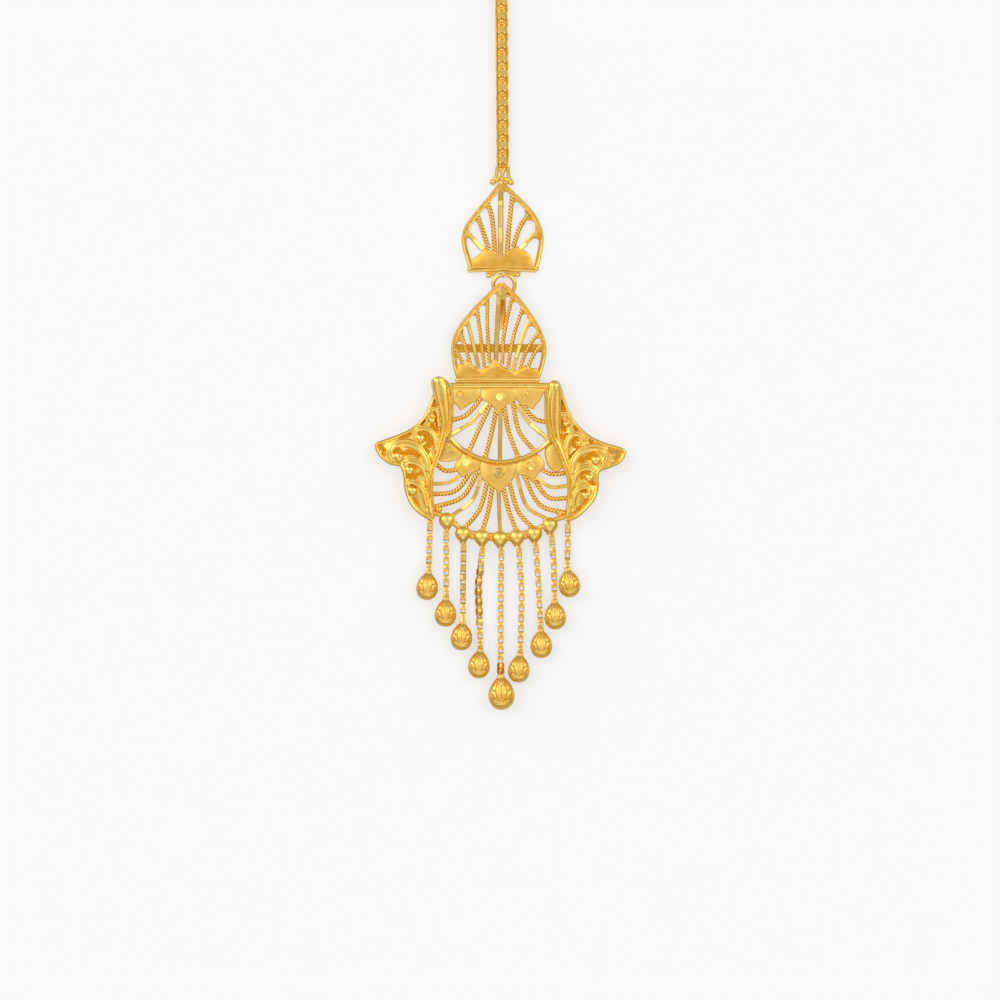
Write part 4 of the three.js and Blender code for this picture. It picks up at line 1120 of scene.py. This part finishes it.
def chain_route(hanger):
    """The drop chain's own line: from the bead down to the surface, and up again into the drop."""
    start, middle, end = (np.array(p) for p in hanger[:3])
    fall = start + 0.6 * (middle - start)
    rise = middle + 0.5 * (end - middle)
    heights = (0.9, CHAIN_LEVEL, CHAIN_LEVEL, CHAIN_LEVEL, 0.85)
    return [(*p, h) for p, h in zip((start, fall, middle, rise, end), heights)]


def square_loop(length, depth, width, wall):
    """A band bent to a rounded square loop. Its rings are the loop's side view at each edge of the
    band; the loop's axis is the band's width."""
    cut, chamfer = 0.24, 0.05
    along, upward = length / 2, depth / 2
    end, top = along - cut * length, upward - cut * depth
    outer = np.array(
        [
            (-end, upward), (end, upward), (along, top), (along, -top),
            (end, -upward), (-end, -upward), (-along, -top), (-along, top),
        ]
    )
    inner = outer * np.array([1 - 2 * wall / length, 1 - 2 * wall / depth])
    half = width / 2
    mid = (outer + inner) / 2
    near_outer = mid + (outer - mid) * 0.7
    rings = [
        np.column_stack([np.full(8, -half), near_outer]),
        np.column_stack([np.full(8, -half + chamfer), outer]),
        np.column_stack([np.full(8, half - chamfer), outer]),
        np.column_stack([np.full(8, half), near_outer]),
        np.column_stack([np.full(8, half), inner]),
        np.column_stack([np.full(8, -half), inner]),
    ]
    return np.array(rings)


def placed_loops(loop, middles, side, along, top):
    """Copies of a loop, one at each middle, laid out by the side, direction and top there."""
    made = []
    for m, s, a, t in zip(middles, side, along, top):
        points = m + loop[..., :1] * s + loop[..., 1:2] * a + loop[..., 2:] * t
        made.append(skin(points, joined=True))
    return made


def make_drop_chain(number, hanger):
    """A box chain: loops whose flat faces look forward, joined by loops that lie level and show as
    two fine side bars in the slits between the faces. One more face closes each end."""
    route = smooth_route(chain_route(hanger), 0.05)
    along, side, top = frames_of(route)
    length = (len(route) - 1) * np.linalg.norm(route[1] - route[0])
    count = max(int(round(length / LINK_PITCH)), 2)
    at = np.concatenate([[0.14], np.arange(count) + 0.5, [count - 0.14]]) / count
    between = np.arange(count + 1) / count
    twist = np.zeros(len(route))
    if number == TWISTED_CHAIN:
        share = np.linspace(0, 1, len(route))
        twist = 0.62 * np.clip((share - 0.12) / 0.1, 0, 1) * np.clip((0.8 - share) / 0.1, 0, 1)
    if number == MIDDLE_DROP:
        share = np.linspace(0, 1, len(route))
        twist = 0.9 * np.clip((share - 0.86) / 0.14, 0, 1)
    route[:, 2] += 0.12 * np.abs(np.sin(2 * twist))
    c, s = np.cos(twist)[:, None], np.sin(twist)[:, None]
    side, top = side * c + top * s, top * c - side * s
    spot = (at * (len(route) - 1)).astype(int)
    gap = (between * (len(route) - 1)).astype(int)
    rng = np.random.default_rng(40 + number)
    pitch = length / count
    face = square_loop(pitch * 0.82, 0.74, CHAIN_WIDTH, 0.14)
    joint = square_loop(pitch * 0.66, CHAIN_WIDTH * 0.94, 0.5 if number == TWISTED_CHAIN else 0.24, 0.12)
    roll = rng.normal(0, 0.05, count + 2)[:, None]
    face_side = side[spot] * np.cos(roll) + top[spot] * np.sin(roll)
    face_top = top[spot] * np.cos(roll) - side[spot] * np.sin(roll)
    links = placed_loops(face, route[spot], face_side, along[spot], face_top)
    links += placed_loops(joint, route[gap], top[gap], along[gap], side[gap])
    node = f"drop_chain_{number + 1}"
    make_piece(f"{node}_links", links, DROP_CHAIN_GOLD, [node], 30.0)


SPRING = -1.05  # where the leaves spring from, below the drop's middle
GROUND = 0.85  # height of the smooth drop beside a leaf's 1
LEAVES = [
    # direction from upright in degrees, where it starts and how long it is, half width; all in mm
    (64.0, 0.35, 1.1, 0.22),
    (-64.0, 0.35, 1.1, 0.22),
    (25.0, 2.2, 0.6, 0.2),
    (-25.0, 2.2, 0.6, 0.2),
    (34.0, 2.0, 0.6, 0.2),
    (-34.0, 2.0, 0.6, 0.2),
    (40.0, 0.0, 2.0, 0.36),
    (-40.0, 0.0, 2.0, 0.36),
    (0.0, -0.05, 2.8, 0.62),
]


def palmette(x, y, edge, slit):
    """Height of a drop's engraving: a fan of leaves that spring from one point low on the drop. A
    leaf is a pointed oval. Its half width is 1 less the square of the way from its middle, to the
    power 0.7. Its height is the fourth root of 1 less the square of the way to its edge, and falls a
    little towards its ends. Each leaf is cut clear of those before it by a fine line. Beyond the
    fan the drop is smooth and stands nearly as high as the leaves."""
    raised_leaf = np.full(np.broadcast(x, y).shape, GROUND)
    for direction, start, length, half in LEAVES:
        turn = math.radians(direction)
        along = x * math.sin(turn) + (y - SPRING) * math.cos(turn) - start
        across = x * math.cos(turn) - (y - SPRING) * math.sin(turn)
        span = np.clip(1 - (2 * along / length - 1) ** 2, 0, 1)
        width = np.maximum(half * span**0.7, 0.001)
        leaf = np.clip(1 - (across / width) ** 2, 0, 1) ** 0.25 * (0.85 + 0.15 * span)
        if direction == 0.0:
            lines = np.exp(-((across / 0.06) ** 2)) + 0.6 * np.exp(-(((np.abs(across) - 0.27) / 0.05) ** 2))
            leaf = leaf - slit * lines * np.clip(span * 2 - 0.5, 0, 1)
        covers = (span > 0) & (np.abs(across) < width + 0.08)
        raised_leaf = np.where(covers, leaf, raised_leaf)
    angle = np.abs(np.arctan2(x, y - SPRING))
    inside = np.clip((0.9 - edge) / 0.05, 0, 1) * np.clip((1.25 - angle) / 0.08, 0, 1)
    return inside * (raised_leaf - GROUND)


DROP_PROFILE = [
    # height and radius, as shares of the drop's length and width
    (-0.5, 0.0), (-0.49, 0.12), (-0.46, 0.23), (-0.40, 0.33), (-0.34, 0.4), (-0.22, 0.47), (-0.1, 0.5),
    (0.02, 0.49), (0.14, 0.455), (0.24, 0.405), (0.34, 0.325), (0.42, 0.24), (0.48, 0.17), (0.53, 0.135),
    (0.60, 0.13),
]


def make_drop(number, hanger):
    """A pear-shaped drop. Across, its section is a flattened oval: the height is the sine of the
    turn to a power below one. The palmette is cut on its front, and some have a deep slit in the
    middle leaf. The outline is smoothed by a moving mean of five rows."""
    size = 1.2 if number == MIDDLE_DROP else 1.0
    end, drop = np.array(hanger[2]), np.array(hanger[3])
    lean = math.atan2(drop[0] - end[0], end[1] - drop[1])
    up, out = np.array(DROP_PROFILE).T
    rows, sides = 110, 132
    fine = np.interp(np.linspace(0, 1, rows), np.linspace(0, 1, len(up)), up)
    radius = np.interp(fine, up, out)
    kernel = np.array([1, 2, 3, 2, 1]) / 9
    radius[2:-2] = np.convolve(radius, kernel, "valid")
    length, width, depth = 3.85 * size, 3.15 * size, 2.5 * size
    turn = np.arange(sides) * 2 * np.pi / sides
    x = width * radius[:, None] * np.cos(turn)[None]
    lift = np.sin(turn)[None]
    z = depth * radius[:, None] * np.sign(lift) * np.abs(lift) ** 0.62
    y = np.broadcast_to((length * fine)[:, None], x.shape)
    round_way = np.abs(np.cos(turn))[None] * np.ones_like(x)
    upper_way = np.clip(fine / 0.42, 0, 1)[:, None] * np.ones_like(x)
    edge = np.maximum(round_way, upper_way)
    relief = palmette(x / size, y / size, edge, 0.8 if number in SLIT_DROPS else 0.25) * (lift > 0)
    z = z + 0.15 * size * relief * np.clip(lift, 0, 1) ** 0.3
    turned_x = drop[0] + x * math.cos(lean) - y * math.sin(lean)
    turned_y = drop[1] + x * math.sin(lean) + y * math.cos(lean)
    rings = np.stack([turned_x, turned_y, depth / 2 + z], axis=-1)
    node = f"drop_{number + 1}"
    make_piece(f"{node}_pear", [skin(rings[1:])], POLISHED_DROP, [node], 70.0)


# ---------------------------------------------------------------- head chain and hook

HEAD_CHAIN_TOP = 75.5
HEAD_CHAIN_END = 47.6
HEAD_PITCH = 2.07
HEAD_CHAIN_LINE = [(0.15, HEAD_CHAIN_TOP, 0.85), (0.3, 61.0, 0.85), (0.4, HEAD_CHAIN_END, 0.85)]


def make_head_chain():
    """The chain for the parting: flat plates and small knots by turns down the middle, an unbroken
    moulded rail on one side and a row of long rounded links on the other."""
    route = smooth_route(HEAD_CHAIN_LINE, 0.05)
    _, side, _ = frames_of(route)
    length = (len(route) - 1) * 0.05
    count = int(length / HEAD_PITCH)
    ripple = np.sin(np.arange(len(route)) * 0.05 * 2 * np.pi / HEAD_PITCH)
    left = route[::3] + side[::3] * 0.76
    left[:, 0] += 0.02 * ripple[::3]
    left[:, 2] += 0.04 * ripple[::3] + 0.05
    links = [carry(left, circle(10), 0.27, 0.9)]
    for i in range(count + 1):
        y = HEAD_CHAIN_END + 1.1 + i * HEAD_PITCH
        if y > HEAD_CHAIN_TOP - 0.3:
            continue
        x = np.interp(y, route[::-1, 1], route[::-1, 0])
        links.append(plate(rounded_oblong(x, y, 0.72, 0.9, 0.14), 0.7, 1.42))
        knot_y = y + HEAD_PITCH / 2
        if knot_y < HEAD_CHAIN_TOP - 0.3:
            links.append(torus((x, knot_y, 1.1), 0.26, 0.24, (1, 0, 0), (0, 1, 0.25), 8, 18))
            links.append(torus((x - 0.05, knot_y, 0.9), 0.3, 0.2, (1, 0.3, 0), (0, 0.4, 1), 8, 16))
            links.append(long_link(x + 0.78, knot_y, 1.14, 0.27, 1.2))
        links.append(long_link(x + 0.70, y, 0.80, 0.27, 1.2))
        for way_x in (-1, 1):
            for way_y in (-1, 1):
                arm = [
                    (x + way_x * 0.3, y + way_y * 0.4, 1.3),
                    (x + way_x * 0.42, y + way_y * 0.62, 1.28),
                    (x + way_x * 0.56, y + way_y * 0.86, 1.0),
                ]
                links.append(wire(arm, 0.24, 0.12, 8))
    # Painted shade: a dark strip under the plates and links, which shows in the gaps between them as their
    # shade.
    core = carry(route[::6], FLAT_PROFILE, 1.5, 0.6)
    make_piece("head_chain_links", links, CHAIN_GOLD, ["head_chain"], 40.0)
    make_piece("head_chain_painted_shade_core", [core], PAINTED_SHADE_GOLD, ["head_chain"])


def rounded_oblong(x, y, width, height, corner):
    """An upright oblong outline with round corners."""
    turn = np.linspace(0, np.pi / 2, 4)
    arcs = []
    for quarter, (sx, sy) in enumerate(((1, 1), (-1, 1), (-1, -1), (1, -1))):
        a = turn + quarter * np.pi / 2
        middle = (x + sx * (width / 2 - corner), y + sy * (height / 2 - corner))
        arcs.append(np.column_stack([middle[0] + corner * np.cos(a), middle[1] + corner * np.sin(a)]))
    return np.vstack(arcs)


def long_link(x, y, z, width, length):
    """A long rounded link: a thin wire whose ends close to a point of its own thickness."""
    share = np.linspace(-1, 1, 11)
    route = np.column_stack([np.full(11, x), y + share * length / 2, np.full(11, z)])
    size = width * np.maximum(1 - np.abs(share) ** 5, 0.08) ** 0.5
    return carry(route, circle(10), size, size * 1.5)


def make_hook():
    """A plain wire hook: an eye for the chain, a straight shank, a round bow and a short return."""
    thick = 0.84
    z = thick / 2
    x = 0.15
    eye_y = HEAD_CHAIN_TOP + 0.3 + 1.2
    foot = eye_y + 0.8
    head = foot + 5.4
    bow = 1.5
    far_x, far_y = 3.45, head - 4.2
    turn = np.pi - np.arange(1, 8) * np.pi / 8
    arch = np.column_stack([x + bow + bow * np.cos(turn), head + bow * np.sin(turn)])
    plan = [(x, foot), (x, foot + 2.7), (x, head), *map(tuple, arch), (3.15, head), (far_x, far_y)]
    shank = wire(levelled(plan, z), thick, 0.2, 16)
    eye = torus((x, eye_y, z), 0.8, thick, (1, 0, 0), (0, 1, 0), 16, 48)
    tip = lump((far_x, far_y, z), (0.43, 0.46, 0.42), 12, 16)
    turns = [foot + 0.3 + 0.3 * i for i in range(3)]
    coil = [torus((x, y, z + 0.13), 0.4, 0.28, (1, 0, 0), (0, 0, 1), 10, 24) for y in turns]
    make_piece("hair_hook_wire", [shank, eye, tip, *coil], POLISHED, ["hair_hook"])


# ---------------------------------------------------------------- stage, light and camera

VIEW_WIDTH = 143.0  # what the frame spans across, on the plan
LENS = 300.0
SENSOR = 36.0
VIEW_HEIGHT = 1.3  # level that the view is measured at


def make_camera():
    """A long lens straight above the piece."""
    data = bpy.data.cameras.new("camera")
    data.lens = LENS
    data.sensor_width = SENSOR
    camera = placed("camera", data)
    distance = VIEW_WIDTH * LENS / SENSOR
    camera.location = PLAN_ORIGIN + np.array([0.0, 0.0, VIEW_HEIGHT + distance]) * MM
    bpy.context.scene.camera = camera


def make_floor():
    """A plain pale floor that the piece lies on."""
    reach, level = 2.5, -0.00003  # in metres
    mesh = bpy.data.meshes.new("floor")
    ways = ((-1, -1), (1, -1), (1, 1), (-1, 1))
    mesh.from_pydata([(reach * x, reach * y, level) for x, y in ways], [], [(0, 1, 2, 3)])
    material, _, _, shader = new_material("pale_floor")
    shader.inputs["Base Color"].default_value = (0.34, 0.33, 0.32, 1.0)
    shader.inputs["Emission Color"].default_value = (0.97, 0.985, 1.0, 1.0)
    shader.inputs["Emission Strength"].default_value = 0.61
    shader.inputs["Roughness"].default_value = 0.9
    shader.inputs["Specular IOR Level"].default_value = 0.0
    mesh.materials.append(material)
    floor = placed("floor", mesh)
    floor.visible_glossy = False


SOFTBOXES = [
    # direction, inner and outer half angle in degrees, strength
    ((-0.35, 0.25, 0.90), 7.0, 14.0, 1.5),
    ((0.45, 0.35, 0.80), 7.0, 14.0, 1.4),
    ((-0.80, 0.50, 0.45), 14.0, 28.0, 1.6),
    ((0.80, 0.45, 0.45), 12.0, 26.0, 1.1),
    ((0.05, -0.80, 0.60), 8.0, 20.0, 0.5),
]
DOME = [
    # sine of the height above the horizon, brightness
    (-1.0, 0.74), (-0.12, 0.70), (0.0, 0.46), (0.10, 0.34), (0.25, 0.42), (0.50, 0.68), (0.75, 0.90),
    (0.90, 0.95), (0.965, 0.80), (0.988, 0.60), (1.0, 0.54),
]


def make_light():
    """Soft studio light: a white dome that is brightest in a ring well up, dimmer overhead and dim
    just above the horizon, over a bright table, with soft lamps in it."""
    world = bpy.data.worlds.new("studio")
    bpy.context.scene.world = world
    world.use_nodes = True
    nodes, links = world.node_tree.nodes, world.node_tree.links
    nodes.clear()
    place = nodes.new("ShaderNodeTexCoord")
    parts = nodes.new("ShaderNodeSeparateXYZ")
    links.new(place.outputs["Generated"], parts.inputs["Vector"])
    dome = nodes.new("ShaderNodeValToRGB")
    ramp = dome.color_ramp
    ramp.elements.remove(ramp.elements[1])
    ramp.elements[0].position = 0.0
    ramp.elements[0].color = (DOME[0][1], DOME[0][1], DOME[0][1], 1.0)
    for height, value in DOME[1:]:
        ramp.elements.new((height + 1) / 2).color = (value, value, value, 1.0)
    share = add_node(nodes, "ShaderNodeMapRange", {"From Min": -1.0})
    links.new(parts.outputs["Z"], share.inputs["Value"])
    links.new(share.outputs["Result"], dome.inputs["Fac"])
    total = dome.outputs["Color"]
    for direction, inner, outer, strength in SOFTBOXES:
        toward = nodes.new("ShaderNodeVectorMath")
        toward.operation = "DOT_PRODUCT"
        toward.inputs[1].default_value = unit(np.array(direction))
        links.new(place.outputs["Generated"], toward.inputs[0])
        low, high = math.cos(math.radians(outer)), math.cos(math.radians(inner))
        bounds = {"From Min": low, "From Max": high, "To Max": strength}
        edge = add_node(nodes, "ShaderNodeMapRange", bounds)
        edge.interpolation_type = "SMOOTHSTEP"
        links.new(toward.outputs["Value"], edge.inputs["Value"])
        joined = nodes.new("ShaderNodeMath")
        joined.operation = "ADD"
        links.new(total, joined.inputs[0])
        links.new(edge.outputs["Result"], joined.inputs[1])
        total = joined.outputs["Value"]
    background = add_node(nodes, "ShaderNodeBackground", {"Color": (1.0, 1.0, 1.0, 1.0)})
    output = nodes.new("ShaderNodeOutputWorld")
    links.new(total, background.inputs["Strength"])
    links.new(background.outputs["Background"], output.inputs["Surface"])
    bpy.context.scene.view_settings.view_transform = "Standard"


make_camera()
make_hook()
make_head_chain()
make_top_leaf()
make_jump_ring()
make_second_leaf()
make_upper_tier()
make_lower_tier()
make_wing("left_wing", LEFT_WING)
make_wing("right_wing", RIGHT_WING)
for index, one_hanger in enumerate(HANGERS):
    make_drop_chain(index, one_hanger)
    make_drop(index, one_hanger)
make_floor()
make_light()
